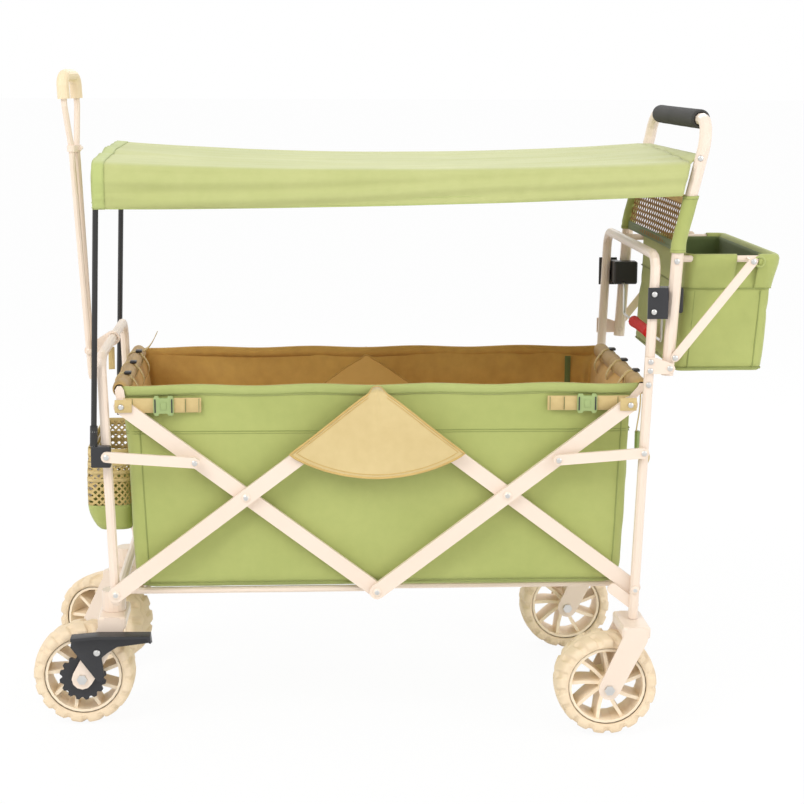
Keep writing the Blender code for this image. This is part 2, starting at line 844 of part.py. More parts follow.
def brake_pedal(name, spot, centre_y, holder, outward):
    """A black foot lever outside the fork: a wide tread with a curved pawl below it."""
    tread = wheel_radius + 0.0770
    pivot = Vector((spot[0] + 0.0245, 0, spot[2] + 0.043))
    face = centre_y + outward * (fork_width / 2 + gap)
    plate = 0.006
    tread_depth = 0.030
    pawl = [(-0.0205, 0.0735), (0.0200, 0.0735), (0.0560, 0.0735), (0.0620, 0.0660),
            (0.0450, 0.0560), (0.0400, 0.0300), (0.0370, 0.0000), (0.0240, -0.0210),
            (0.0170, -0.0170), (0.0180, 0.0060), (0.0080, 0.0300), (-0.0160, 0.0500)]
    outline = [(spot[0] + u, spot[2] + v) for u, v in pawl]
    body = extruded(outline, *sorted((face, face + outward * plate)))
    lip = [(spot[0] - 0.0205, tread - 0.0072), (spot[0] + 0.1000, tread - 0.0072),
           (spot[0] + 0.1215, tread - 0.0190), (spot[0] + 0.1215, tread - 0.0120),
           (spot[0] + 0.1050, tread), (spot[0] - 0.0205, tread)]
    top = extruded(lip, *sorted((face + outward * 0.0002, face + outward * tread_depth)))
    head = domed_rivet(pivot, face + outward * plate, outward, 0.0065, 0.0022)
    body = union(body, top, head)
    piece(name, body, black_plastic, Vector((pivot.x, centre_y, pivot.z)), holder)


def casters():
    turns = {"near": 0.0, "far": -far_caster_turn}
    for side_name, side in sides_of_cart:
        centre_y = side * caster_y
        holder = pivot_empty("caster_" + side_name, (caster_x, centre_y, fork_top()),
                             turns[side_name])
        spot = Vector((caster_x - front_trail, 0, wheel_radius))
        origin = Vector((caster_x, centre_y, fork_top()))
        fork("caster_fork_" + side_name, spot, caster_x, centre_y, holder, origin, True)
        tyre("front_tyre_" + side_name, spot, centre_y, holder)
        rim("front_rim_" + side_name, spot, centre_y, holder)
        ratchet_disc("ratchet_disc_" + side_name, spot, centre_y, holder, side)
        axle("front_axle_" + side_name, spot, centre_y, holder)
        brake_pedal("brake_pedal_" + side_name, spot, centre_y, holder, side)


def rear_wheels():
    for side_name, side in sides_of_cart:
        centre_y = side * rear_wheel_y
        cap_x = rear_leg(fork_top()) - 0.003
        spot = Vector((cap_x - rear_trail, 0, wheel_radius))
        origin = Vector((cap_x, centre_y, fork_top()))
        fork("rear_fork_" + side_name, spot, cap_x, centre_y, cart, origin, False)
        tyre("rear_tyre_" + side_name, spot, centre_y, cart)
        rim("rear_rim_" + side_name, spot, centre_y, cart)
        axle("rear_axle_" + side_name, spot, centre_y, cart)


# Floor rails
def floor_rail(name, pivot_x, end_x, y, tab_layer_outward):
    """Two parallel bars under the floor that swing up as the cart folds."""
    inward = 1 if end_x > pivot_x else -1
    bars = []
    cross_x = pivot_x + inward * 0.030
    for _, side in sides_of_cart:
        start = pivot_x + inward * -0.004
        bars.append(tube([(start, side * y, rail_height), (end_x, side * y, rail_height)],
                         rail_radius, 8))
        reach = y + tab_layer_outward * (rail_radius + gap + rail_tab + 0.0015)
        bars.append(pin((pivot_x, 0, rail_height), side * y, side * reach, rail_pin_radius))
    cross = tube([(cross_x, -y, rail_height), (cross_x, y, rail_height)], rail_radius * 0.9, 8)
    piece(name, union(bars[0], cross, *bars[1:]), cream, (pivot_x, 0, rail_height))


def rail_tab_parts(side, start, pivot_x, y, tab_layer_outward):
    """The welded ear that holds one rail's pin, and the bore through it."""
    first = y + tab_layer_outward * (rail_radius + gap)
    second = first + tab_layer_outward * rail_tab
    lo, hi = sorted((side * first, side * second))
    ear = extruded(capsule(start, (pivot_x, rail_height), 0.007), lo, hi)
    return ear, bore((pivot_x, 0, rail_height), lo - 0.003, hi + 0.003, rail_pin_radius)


# Tub
def rim_roll(name, x, tip, turned_tip):
    """The padded end rail with the flat ears that hang it on the links' upper rivets."""
    reach = tub_half_width + 0.0025
    body = tube([(x, -reach, roll_height), (x, reach, roll_height)], roll_radius, 14)
    ears = []
    bores = []
    for _, side in sides_of_cart:
        lo, hi = sorted((side * (tub_half_width + gap), side * (inner_link_y - gap)))
        ears.append(extruded(capsule((x, roll_height), plan(tip), 0.0095), lo, hi))
        bores.append(bore(tip, side * (tub_half_width - 0.01), side * (inner_link_y + 0.01)))
    piece(name, cut(union(body, *ears), *bores), green_cloth, turned_tip)


def tub_liner():
    """An open fabric tub hung between the two rolls, its long walls easing out in the middle."""
    front = roll_front_x + roll_radius + seat
    rear = roll_rear_x - roll_radius - seat
    half = tub_half_width
    low = rail_height + rail_radius + seat
    corner = 0.020
    wall = tub_wall

    def shell(inset, bottom, top):
        lo_x, hi_x, edge = front + inset, rear - inset, max(0.002, corner - inset)
        outline = [(lo_x, top), (lo_x, bottom + edge), (lo_x + edge * 0.3, bottom + edge * 0.3),
                   (lo_x + edge, bottom), (hi_x - edge, bottom),
                   (hi_x - edge * 0.3, bottom + edge * 0.3), (hi_x, bottom + edge), (hi_x, top)]
        solid = extruded(outline, -half + inset, half - inset)
        long_edges = [e for e in solid.edges
                      if abs(e.verts[0].co.z - bottom) < 1e-6 and abs(e.verts[1].co.z - bottom) < 1e-6
                      and abs(e.verts[0].co.y - e.verts[1].co.y) < 1e-6]
        bmesh.ops.bevel(solid, geom=long_edges, offset=edge * 0.6, segments=2, affect="EDGES")
        return solid

    body = cut(shell(0.0, low, tub_top), shell(wall, low + wall, tub_top + 0.05))
    piece("tub_liner", body, green_cloth, (0, 0, low))


def front_pocket():
    """An open pouch on the tub's front wall, between the front legs."""
    back = roll_front_x + roll_radius
    front = pocket_front_x
    wall = 0.003
    outer = box((front, -pocket_half_width, pocket_bottom), (back, pocket_half_width, pocket_top))
    rounded = [e for e in outer.edges if all(v.co.x < front + 1e-6 for v in e.verts)
               and any(v.co.z < pocket_top - 1e-6 for v in e.verts)]
    bmesh.ops.bevel(outer, geom=rounded, offset=0.012, segments=2, affect="EDGES")
    inner = box((front + wall, -pocket_half_width + wall, pocket_bottom + wall),
                (back - wall, pocket_half_width - wall, pocket_top + 0.02))
    inner_rounded = [e for e in inner.edges if all(v.co.x < front + wall + 1e-6 for v in e.verts)]
    bmesh.ops.bevel(inner, geom=inner_rounded, offset=0.010, segments=2, affect="EDGES")
    piece("front_pocket", cut(outer, inner), green_cloth, (back, 0, pocket_bottom))


# Push handle
def push_leg_path(side, low, high):
    heights = (low, 0.80, 0.85, 0.90, 0.95, high)
    return [(push_leg(z), side * handle_y, z) for z in heights if low <= z <= high]


def push_handle_tube():
    low = handle_pivot.z - 0.014
    bend_z = handle_top.z - handle_bend
    near = push_leg_path(-1, low, bend_z)
    far = push_leg_path(1, low, bend_z)
    top_x = push_leg(handle_top.z) - 0.004
    corners = near + [(top_x, -handle_y, handle_top.z), (top_x, handle_y, handle_top.z)]
    corners += far[::-1]
    body = tube(bent(corners, handle_bend * 0.96), handle_radius)
    rod_reach = handle_y - handle_radius * 0.4
    rod = tube([(hem_rod.x, -rod_reach, hem_rod.z), (hem_rod.x, rod_reach, hem_rod.z)],
               hem_rod_radius, 8)
    holes = [bore(handle_pivot, side * (handle_y - 0.02), side * (handle_y + 0.02))
             for _, side in sides_of_cart]
    piece("push_handle_tube", cut(union(body, rod), *holes), cream, handle_pivot)


def foam_grip():
    top_x = push_leg(handle_top.z) - 0.004
    half = foam_length / 2
    centre = Vector((top_x, 0, handle_top.z))
    inside = handle_radius + 2 * gap
    outline = [(inside, -half), (foam_radius - 0.003, -half), (foam_radius, -half + 0.003),
               (foam_radius, half - 0.003), (foam_radius - 0.003, half), (inside, half)]
    piece("foam_grip", turned(outline, centre, 14), foam, centre)


def hinge_plate(name, side):
    """The flat plate outside the rear leg, riveted twice to it, with the handle's pivot."""
    face = rear_leg_y + tube_radius + gap
    back = face + hinge_plate_thickness
    upper = Vector((rear_leg(0.6554), 0, 0.6554))
    lower = Vector((rear_leg(0.6401), 0, 0.6401))
    outline = [(rear_leg(0.66) - 0.010, 0.634), (handle_pivot.x - 0.004, 0.6345),
               (handle_pivot.x + 0.006, 0.6370), (handle_pivot.x + 0.0095, 0.6440),
               (handle_pivot.x + 0.006, 0.6510), (handle_pivot.x - 0.006, 0.6560),
               (rear_leg(0.66) + 0.006, 0.6630), (rear_leg(0.66) - 0.010, 0.6630)]
    body = union(
        extruded(outline, *sorted((side * face, side * back))),
        domed_rivet(upper, side * back, side, 0.0050, 0.0020),
        domed_rivet(lower, side * back, side, 0.0050, 0.0020),
        domed_rivet(handle_pivot, side * back, side, 0.0062, 0.0022),
        pin(handle_pivot, side * (handle_y - handle_radius), side * (back - 0.001)),
    )
    piece("hinge_plate_" + name, body, cream, handle_pivot)


def lock_bracket(name, side):
    """The black latch block clamped between the rear leg and the handle's leg."""
    low, high = 0.729, 0.782
    leg_x = rear_leg((low + high) / 2)
    outer_face = rear_leg_y + tube_radius + gap
    plate_out = outer_face + 0.004
    between_lo = leg_x + tube_radius + gap + 0.0010
    between_hi = push_leg(low) - handle_radius - gap
    inner_face = handle_y - handle_radius - gap
    plate = box(sorted_pair(leg_x - 0.0115, between_hi, side * outer_face, side * plate_out, low, high)[0],
                sorted_pair(leg_x - 0.0115, between_hi, side * outer_face, side * plate_out, low, high)[1])
    middle_lo, middle_hi = sorted_pair(between_lo, between_hi, side * (inner_face - 0.004),
                                       side * (plate_out - 0.001), low + 0.004, high - 0.004)
    block_lo, block_hi = sorted_pair(between_lo, push_leg(high) + 0.018, side * (lever_y + 0.0140),
                                     side * inner_face, low + 0.006, high - 0.003)
    block = box(block_lo, block_hi)
    bmesh.ops.bevel(block, geom=block.edges[:], offset=0.0025, segments=1, affect="EDGES")
    rivets = [domed_rivet(Vector((leg_x - 0.001, 0, z)), side * plate_out, side, 0.0050, 0.0020)
              for z in (low + 0.012, high - 0.011)]
    body = union(plate, box(middle_lo, middle_hi), block, *rivets)
    socket = bore(lever_pivot, side * (lever_y + 0.010), side * (lever_y + 0.0300), lever_pin_radius)
    piece("lock_bracket_" + name, cut(body, socket), black_plastic, lever_pivot)


def sorted_pair(x0, x1, y0, y1, z0, z1):
    return ((min(x0, x1), min(y0, y1), min(z0, z1)), (max(x0, x1), max(y0, y1), max(z0, z1)))


def release_lever():
    """A thin bar bent into a U, its ends turned out into the latch blocks."""
    low = lever_pivot.z - lever_drop
    end = lever_y + 0.0180
    corners = [(lever_pivot.x, -end, lever_pivot.z), (lever_pivot.x, -lever_y, lever_pivot.z),
               (lever_pivot.x, -lever_y + 0.004, low), (lever_pivot.x, lever_y - 0.004, low),
               (lever_pivot.x, lever_y, lever_pivot.z), (lever_pivot.x, end, lever_pivot.z)]
    body = tube(bent(corners, 0.008, 3), lever_pin_radius, 8)
    piece("release_lever", body, steel, lever_pivot)


def lever_grip():
    low = lever_pivot.z - lever_drop
    half = lever_grip_length / 2
    centre = Vector((lever_pivot.x, 0, low))
    inside = lever_pin_radius + gap
    r = lever_grip_radius
    outline = [(inside, -half), (r * 0.72, -half), (r, -half + 0.010), (r * 0.88, -half * 0.5),
               (r * 0.88, half * 0.5), (r, half - 0.010), (r * 0.72, half), (inside, half)]
    piece("lever_grip", turned(outline, centre, 12), red_plastic, lever_pivot)


def net_panel():
    """The net between the handle's legs with the two fabric sleeves round them."""
    outer = []
    bores = []
    for _, side in sides_of_cart:
        path = push_leg_path(side, net_bottom, net_top)
        outer.append(tube(path, handle_radius + gap + sleeve_wall, 12))
        longer = push_leg_path(side, net_bottom - 0.02, net_top + 0.02)
        bores.append(tube(longer, handle_radius + gap + 0.0004, tube_sides))
    heights = (net_bottom, 0.85, 0.90, net_top)
    thickness = 0.0024
    front = [(push_leg(z) - thickness / 2, z) for z in heights]
    back = [(push_leg(z) + thickness / 2, z) for z in heights]
    reach = handle_y - handle_radius - 0.0020
    panel = extruded(front + back[::-1], -reach, reach)
    piece("net_panel", cut(union(panel, *outer), *bores), net_cloth, handle_pivot)


# Basket
def basket_ring(front, rear, half, z, radius, steps=3):
    """A round-cornered rectangle at a height."""
    ring = []
    corners = ((rear - radius, half - radius, 0), (front + radius, half - radius, 90),
               (front + radius, -half + radius, 180), (rear - radius, -half + radius, 270))
    for x, y, first in corners:
        for step in range(steps + 1):
            angle = radians(first + 90 * step / steps)
            ring.append((x + radius * cos(angle), y + radius * sin(angle), z))
    return ring


def basket_bag():
    wall = basket_wall
    outer_low = basket_ring(basket_front_x - 0.016, basket_rear_x - 0.013, basket_half_width - 0.003,
                            basket_bottom, 0.018)
    outer_top = basket_ring(basket_front_x, basket_rear_x, basket_half_width, basket_top, 0.018)
    inner_top = basket_ring(basket_front_x + wall, basket_rear_x - wall, basket_half_width - wall,
                            basket_top, 0.015)
    inner_low = basket_ring(basket_front_x + wall + gap, basket_rear_x - 0.013 - wall,
                            basket_half_width - 0.003 - wall, basket_bottom + wall, 0.015)
    bm = bmesh.new()
    rings = [[bm.verts.new(p) for p in ring] for ring in (outer_low, outer_top, inner_top, inner_low)]
    bm.faces.new(rings[0])
    bm.faces.new(rings[-1])
    for low, high in zip(rings, rings[1:]):
        for i in range(len(low)):
            j = (i + 1) % len(low)
            bm.faces.new((low[i], low[j], high[j], high[i]))
    bmesh.ops.recalc_face_normals(bm, faces=bm.faces)
    piece("basket_bag", bm, green_cloth, basket_pivot())


def basket_pivot():
    return Vector((push_leg(basket_bar_height), 0, basket_bar_height))


def basket_bar():
    """The wire that holds the bag's mouth open, its ends turned out to the handle's legs."""
    pivot = basket_pivot()
    end = handle_y - handle_radius - seat
    corners = [(pivot.x, -end, pivot.z), (pivot.x, -basket_bar_y, pivot.z),
               (basket_bar_rear, -basket_bar_y, pivot.z), (basket_bar_rear, basket_bar_y, pivot.z),
               (pivot.x, basket_bar_y, pivot.z), (pivot.x, end, pivot.z)]
    body = tube(bent(corners, 0.014, 3), basket_bar_radius, 8)
    piece("basket_bar", body, cream, pivot)


def basket_brace(name, side):
    inner = handle_y + handle_radius + gap
    outer = inner + brace_thickness
    lo, hi = sorted((side * inner, side * outer))
    body = union(
        extruded(capsule(plan(brace_top), plan(brace_foot), brace_width / 2, steps=5), lo, hi),
        pin(brace_top, side * (basket_bar_y + basket_bar_radius + seat), side * (outer - 0.0005), 0.0035),
        domed_rivet(brace_top, side * outer, side, 0.0050, 0.0018),
        domed_rivet(brace_foot, side * outer, side, 0.0050, 0.0018),
    )
    piece("basket_brace_" + name, body, cream, brace_top)


# Pull handle
def pull_spot(side, z, spread):
    """A point of one of the twin tubes; the pair turns a little towards the top."""
    rise_share = min(1.0, (z - pull_pivot.z) / (collar_height - pull_pivot.z))
    y = side * spread
    x = pull_pivot.x - (z - pull_pivot.z) * pull_lean
    return Vector((x + y * pull_twist * max(0.0, rise_share), y, z))


def pull_bracket():
    """A lug that clasps the front bar and carries the pull handle's pin."""
    bar = Vector((front_leg(front_bar_height), 0, front_bar_height))
    half = pull_spacing - pull_tube_radius - gap
    reach = pull_spacing + pull_tube_radius + gap + rivet_sink
    lug = extruded(capsule(plan(bar), plan(pull_pivot), tube_radius + 0.0045, 0.0095), -half, half)
    shank = pin(pull_pivot, -reach - 0.001, reach + 0.001)
    heads = [domed_rivet(pull_pivot, side * reach, side, 0.0062, 0.0022) for side in (-1, 1)]
    clasp = bore(bar, -0.1, 0.1, tube_radius, 14)
    piece("pull_handle_bracket", cut(union(lug, shank, *heads), clasp), cream, pull_pivot)


def pull_handle_tubes():
    """Two tubes side by side, clamped by a collar, that part above it towards the grip."""
    foot = pull_pivot.z - pull_foot
    part_height = collar_height + collar_length / 2
    tubes = []
    for side in (-1, 1):
        path = [pull_spot(side, z, pull_spacing) for z in (foot, foot + 0.010, part_height)]
        path += [pull_spot(side, part_height + 0.022, pull_spacing + 0.006),
                 pull_spot(side, pull_top - grip_overlap - 0.012, grip_spread),
                 pull_spot(side, pull_top, grip_spread)]
        radii = [pull_tube_radius * 0.7] + [pull_tube_radius] * (len(path) - 1)
        tubes.append(tube(path, radii, 10))
    low = collar_height - collar_length / 2
    high = collar_height + collar_length / 2
    outer = pull_tube_radius + 0.0022
    ends = [pull_spot(side, collar_height, pull_spacing) for side in (-1, 1)]
    collar = extruded(capsule((ends[0].x, ends[0].y), (ends[1].x, ends[1].y), outer), low, high, "Z")
    screw = pin(ends[1] + Vector((outer * 0.8, 0, 0)), 0, pull_spacing + outer + 0.003, 0.004)
    bores = [bore(pull_pivot, side * (pull_spacing - 0.02), side * (pull_spacing + 0.02))
             for side in (-1, 1)]
    body = union(tubes[0], tubes[1], collar, screw)
    piece("pull_handle_tubes", cut(body, *bores), cream, pull_pivot)


def pull_grip():
    """A moulded hoop over both tube ends, thick at the hand and rounded at its shoulders."""
    low = pull_top - grip_overlap
    high = grip_top - grip_radius
    corners = [pull_spot(-1, low, grip_spread), pull_spot(-1, high, grip_spread),
               pull_spot(1, high, grip_spread), pull_spot(1, low, grip_spread)]
    path = bent(corners, grip_spread * 0.55, 4)
    hoop = tube(path, [grip_radius] * len(path), 14)
    sockets = [tube([pull_spot(side, low - 0.01, grip_spread), pull_spot(side, pull_top + gap, grip_spread)],
                    pull_tube_radius + 3 * gap, 12) for side in (-1, 1)]
    piece("pull_grip", cut(hoop, *sockets), tan_plastic, pull_pivot)


# The whole cart
front_frame_tube()
rear_frame_tube()
canopy_bow()
canopy_cover()
casters()
rear_wheels()
floor_rail("floor_rail_front", -rail_pivot_x, rail_end_x, front_rail_y, -1)
floor_rail("floor_rail_rear", rail_pivot_x, -rail_end_x, rear_rail_y, 1)
rim_roll("rim_roll_front", roll_front_x, front_tip, front_cross)
rim_roll("rim_roll_rear", roll_rear_x, rear_tip, rear_cross)
tub_liner()
front_pocket()
push_handle_tube()
foam_grip()
release_lever()
lever_grip()
net_panel()
basket_bag()
basket_bar()
pull_bracket()
pull_handle_tubes()
pull_grip()
for side_name, side_sign in sides_of_cart:
    pole_socket(side_name, side_sign)
    links(side_name, side_sign)
    short_links(side_name, side_sign)
    hinge_plate(side_name, side_sign)
    lock_bracket(side_name, side_sign)
    basket_brace(side_name, side_sign)

print("sub-parts:", len([o for o in bpy.data.objects if o.type == "MESH"]))
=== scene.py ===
# %% [markdown]
# # A folding camping cart, dressed for its photograph
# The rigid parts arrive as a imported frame: tubes, links, forks and wheels in metres.
# This lesson loads that frame, gives every part its finish, and then sews the soft goods:
# the tub, the canopy, the basket, the pocket, the net and all the webbing.

# %% Load the frame
from math import cos, pi, radians, sin

import bmesh
import bpy
from mathutils import Matrix, Vector, noise


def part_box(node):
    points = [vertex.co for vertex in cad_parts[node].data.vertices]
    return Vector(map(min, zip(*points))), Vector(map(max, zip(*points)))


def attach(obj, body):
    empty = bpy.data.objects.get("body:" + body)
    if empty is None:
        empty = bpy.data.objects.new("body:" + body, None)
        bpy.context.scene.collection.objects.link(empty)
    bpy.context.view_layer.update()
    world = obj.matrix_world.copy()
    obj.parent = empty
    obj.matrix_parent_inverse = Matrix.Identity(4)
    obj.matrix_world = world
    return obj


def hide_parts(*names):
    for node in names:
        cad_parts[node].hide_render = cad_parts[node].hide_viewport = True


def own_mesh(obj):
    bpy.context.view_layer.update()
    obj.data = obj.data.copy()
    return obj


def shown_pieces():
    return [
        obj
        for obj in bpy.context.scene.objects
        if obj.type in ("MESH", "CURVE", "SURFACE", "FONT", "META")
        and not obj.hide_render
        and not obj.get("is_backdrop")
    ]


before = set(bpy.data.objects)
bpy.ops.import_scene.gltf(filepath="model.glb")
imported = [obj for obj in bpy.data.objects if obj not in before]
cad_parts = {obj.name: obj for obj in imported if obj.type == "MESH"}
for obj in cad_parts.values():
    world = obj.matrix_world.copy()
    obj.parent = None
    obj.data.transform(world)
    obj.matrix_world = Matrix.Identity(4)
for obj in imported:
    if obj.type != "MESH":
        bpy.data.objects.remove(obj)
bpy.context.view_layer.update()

# %% [markdown]
# ## Places to measure from
# The tub is already in the frame, so its box gives the width that cloth is cut to. The
# linkage's own middle lies a little ahead of the frame's origin, and every place along the
# cart is counted from there.

# %% Measures
tub_low, tub_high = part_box("tub_liner")
wall_y = tub_high.y
middle = -0.0454
sides = ((-1, "near"), (1, "far"))
print("tub %.3f long, %.3f wide, %.3f deep" % tuple(tub_high - tub_low))

# %% [markdown]
# ## Shader sums written as Python
# A shader is a sum of small steps. `Wire` wraps one socket, so `1 - mask * 0.3` writes the
# Math nodes for us. `Tree.node` adds any other node with its settings and inputs, and a
# `Finish` is the tree of one material.

# %% A wire, a tree and a finish
class Wire:
    """One output socket, on which Python's operators build Math nodes."""

    def __init__(self, tree, socket):
        self.tree = tree
        self.socket = socket

    def __add__(self, other):
        return self.tree.maths("ADD", self, other)

    def __radd__(self, other):
        return self.tree.maths("ADD", other, self)

    def __sub__(self, other):
        return self.tree.maths("SUBTRACT", self, other)

    def __rsub__(self, other):
        return self.tree.maths("SUBTRACT", other, self)

    def __mul__(self, other):
        return self.tree.maths("MULTIPLY", self, other)

    def __rmul__(self, other):
        return self.tree.maths("MULTIPLY", other, self)


class Tree:
    """A node tree whose nodes are added one call at a time."""

    def __init__(self, tree):
        self.tree = tree

    def node(self, kind, settings=None, sockets=None, output=0):
        """One node with its settings and its sockets' values or wires; returns an output."""
        made = self.tree.nodes.new(kind)
        for key, value in (settings or {}).items():
            if key == "stops":
                self.paint(made.color_ramp, value)
            else:
                setattr(made, key, value)
        for key, value in (sockets or {}).items():
            self.join(value, made.inputs[key])
        return Wire(self, made.outputs[output])

    def paint(self, ramp, stops):
        """Gives a ramp its (place, grey) stops."""
        while len(ramp.elements) < len(stops):
            ramp.elements.new(1.0)
        for element, (place, grey) in zip(ramp.elements, stops):
            element.position = place
            element.color = (grey, grey, grey, 1.0)

    def join(self, value, socket):
        """Links a wire to a socket, or sets a constant on the socket itself."""
        if isinstance(value, Wire):
            self.tree.links.new(value.socket, socket)
        elif isinstance(value, tuple) and len(value) == 3 and socket.type == "RGBA":
            socket.default_value = (*value, 1.0)
        else:
            socket.default_value = value

    def maths(self, operation, first, second):
        return self.node("ShaderNodeMath", {"operation": operation}, {0: first, 1: second})

    def blend(self, share, first, second, ending):
        """Mixes two shaders and joins the result to the tree's ending."""
        mixed = self.node("ShaderNodeMixShader", {}, {0: share, 1: first, 2: second})
        self.join(mixed, self.tree.nodes[ending].inputs[0])


class Finish(Tree):
    """A material, with the textures and sums that its shader needs."""

    def __init__(self, name, roughness=0.5, metallic=0.0, **sockets):
        self.material = bpy.data.materials.new(name)
        self.material.use_nodes = True
        super().__init__(self.material.node_tree)
        self.shader = self.tree.nodes["Principled BSDF"]
        self.shader.inputs["Roughness"].default_value = roughness
        self.shader.inputs["Metallic"].default_value = metallic
        for socket, value in sockets.items():
            self.shader.inputs[socket.replace("_", " ")].default_value = value

    def place(self, scale=(1, 1, 1)):
        spot = self.node("ShaderNodeTexCoord", output="Object")
        return self.node("ShaderNodeMapping", {}, {"Vector": spot, "Scale": scale})

    def noise(self, scale, detail=3.0, rough=0.5):
        return self.node("ShaderNodeTexNoise", {}, {
            "Vector": self.place(), "Scale": scale, "Detail": detail, "Roughness": rough})

    def threads(self, count, direction="X", scale=(1, 1, 1)):
        """Sine bands, count of them to the metre."""
        return self.node("ShaderNodeTexWave", {"wave_type": "BANDS", "bands_direction": direction}, {
            "Vector": self.place(scale), "Scale": count * 2 * pi / 20.0})

    def mix(self, mask, low, high):
        return self.node("ShaderNodeMix", {"data_type": "RGBA"}, {0: mask, 6: low, 7: high}, 2)

    def ramp(self, mask, *stops):
        return self.node("ShaderNodeValToRGB", {"stops": stops}, {0: mask})

    def colour(self, value):
        self.join(value, self.shader.inputs["Base Color"])

    def tone(self, mask, deep, shade):
        """Lets the base colour drift between two screen colours."""
        self.colour(self.mix(mask, srgb(*deep), srgb(*shade)))

    def rough(self, value):
        self.join(value, self.shader.inputs["Roughness"])

    def bump(self, height, strength, distance=0.001):
        lifted = self.node("ShaderNodeBump", {}, {
            "Height": height, "Strength": strength, "Distance": distance})
        self.join(lifted, self.shader.inputs["Normal"])


def srgb(red, green, blue):
    """Screen values from 0 to 255, turned into the linear light that shaders use."""
    def linear(value):
        share = value / 255
        return share / 12.92 if share <= 0.04045 else ((share + 0.055) / 1.055) ** 2.4
    return (linear(red), linear(green), linear(blue))


print("tools ready")

# %% [markdown]
# ## Painted tube and moulded parts
# Powder coat is nearly smooth, with a faint orange peel that only shows in the gloss.
# The plastics are duller, with a fine moulded grain. Both get a slow drift of tone, because
# no large painted thing is one flat colour.

# %% Rigid finishes
def painted(name, shade, deep):
    """Powder coat; shade and deep are the screen colours that its tone drifts between."""
    made = Finish(name, 0.36, Coat_Weight=0.18, Coat_Roughness=0.25)
    made.tone(made.noise(7.0, 2.0), deep, shade)
    made.rough(0.30 + made.noise(60.0, 2.0) * 0.14)
    made.bump(made.noise(900.0, 1.0), 0.08, 0.0004)
    return made.material


def moulded(name, shade, deep, roughness=0.5, grain=0.15):
    """Plastic, foam or rubber, with a moulded grain."""
    made = Finish(name, roughness)
    made.tone(made.noise(18.0, 4.0), deep, shade)
    made.rough(roughness - 0.08 + made.noise(140.0, 3.0) * 0.16)
    made.bump(made.noise(1500.0, 2.0), grain, 0.0005)
    return made.material


def plated(name, shade):
    """Bright plated steel."""
    made = Finish(name, 0.32, 1.0)
    bright = srgb(*shade)
    made.colour(made.mix(made.noise(60.0, 3.0), tuple(0.75 * c for c in bright), bright))
    made.rough(0.24 + made.noise(220.0, 3.0) * 0.22)
    made.bump(made.noise(700.0, 2.0), 0.06, 0.0003)
    return made.material


cream = painted("cream_powder_coat", (238, 221, 205), (232, 212, 193))
tyre_tan = moulded("tan_tyre_rubber", (241, 222, 193), (229, 205, 171), 0.66, 0.35)
rim_tan = moulded("tan_rim_plastic", (252, 236, 210), (245, 225, 195), 0.48)
grip_tan = moulded("tan_grip_plastic", (240, 222, 190), (228, 204, 166), 0.42)
black = moulded("black_plastic", (50, 50, 53), (38, 38, 41), 0.42)
glassfibre = moulded("black_pole", (44, 43, 42), (30, 30, 30), 0.34)
foam = moulded("black_foam", (68, 66, 64), (50, 49, 48), 0.88, 0.8)
red = moulded("red_plastic", (226, 18, 10), (206, 10, 6), 0.75)
buckle_green = moulded("pale_green_plastic", (160, 178, 118), (146, 164, 104), 0.38)
zinc = plated("zinc_plated_steel", (230, 229, 226))

node_finish = {
    "tyre": tyre_tan, "_rim_": rim_tan, "grip": grip_tan, "foam_grip": foam, "lever_grip": red,
    "release_lever": zinc, "axle": zinc, "pole_socket": black, "canopy_bow": glassfibre,
    "lock_bracket": black, "ratchet": black, "pedal": black,
}
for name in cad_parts:
    choice = cream
    for key, finish in node_finish.items():
        if key in name:
            choice = finish
    node = bpy.data.objects.get(name)
    for slot in node.material_slots if node else ():
        slot.material = choice
print("finishes on the frame's own parts")

# %% [markdown]
# ## Cloth finishes
# The tub is a coated polyester: a tight plain weave, soft sheen, and small dents where it has
# been folded. The lining is the same cloth in tan. Webbing is a coarse rib, and the canopy is
# a thin pale cloth that light partly passes through, so it looks lighter on top.

# %% Cloth
def woven(name, shade, deep, threads=900, crease=0.35, weave=0.25, roughness=0.72, blotch=5.0):
    """A plain weave, threads to the metre each way, with creases and worn patches."""
    made = Finish(name, roughness, Sheen_Weight=0.18, Sheen_Roughness=0.5)
    weft = made.threads(threads, "X") * made.threads(threads, "Z")
    worn = made.noise(blotch, 5.0)
    fine = made.noise(55.0, 4.0)
    patches = made.ramp(worn * 0.7 + fine * 0.3, (0.32, 0.0), (0.68, 1.0))
    made.tone(patches, deep, shade)
    made.rough(roughness - 0.10 + fine * 0.2)
    made.bump(made.noise(26.0, 5.0, rough=0.6) * crease + weft * weave, 0.55, 0.0016)
    return made.material


def webbing(name, shade, deep):
    """Coarse ribbed strap."""
    made = Finish(name, 0.8, Sheen_Weight=0.1)
    rib = made.threads(620, "X")
    cross = made.threads(900, "Z")
    made.tone(rib * 0.6 + made.noise(120.0, 3.0) * 0.4, deep, shade)
    made.rough(0.72 + cross * 0.15)
    made.bump(rib * 0.6 + cross * 0.4, 0.7, 0.0006)
    return made.material


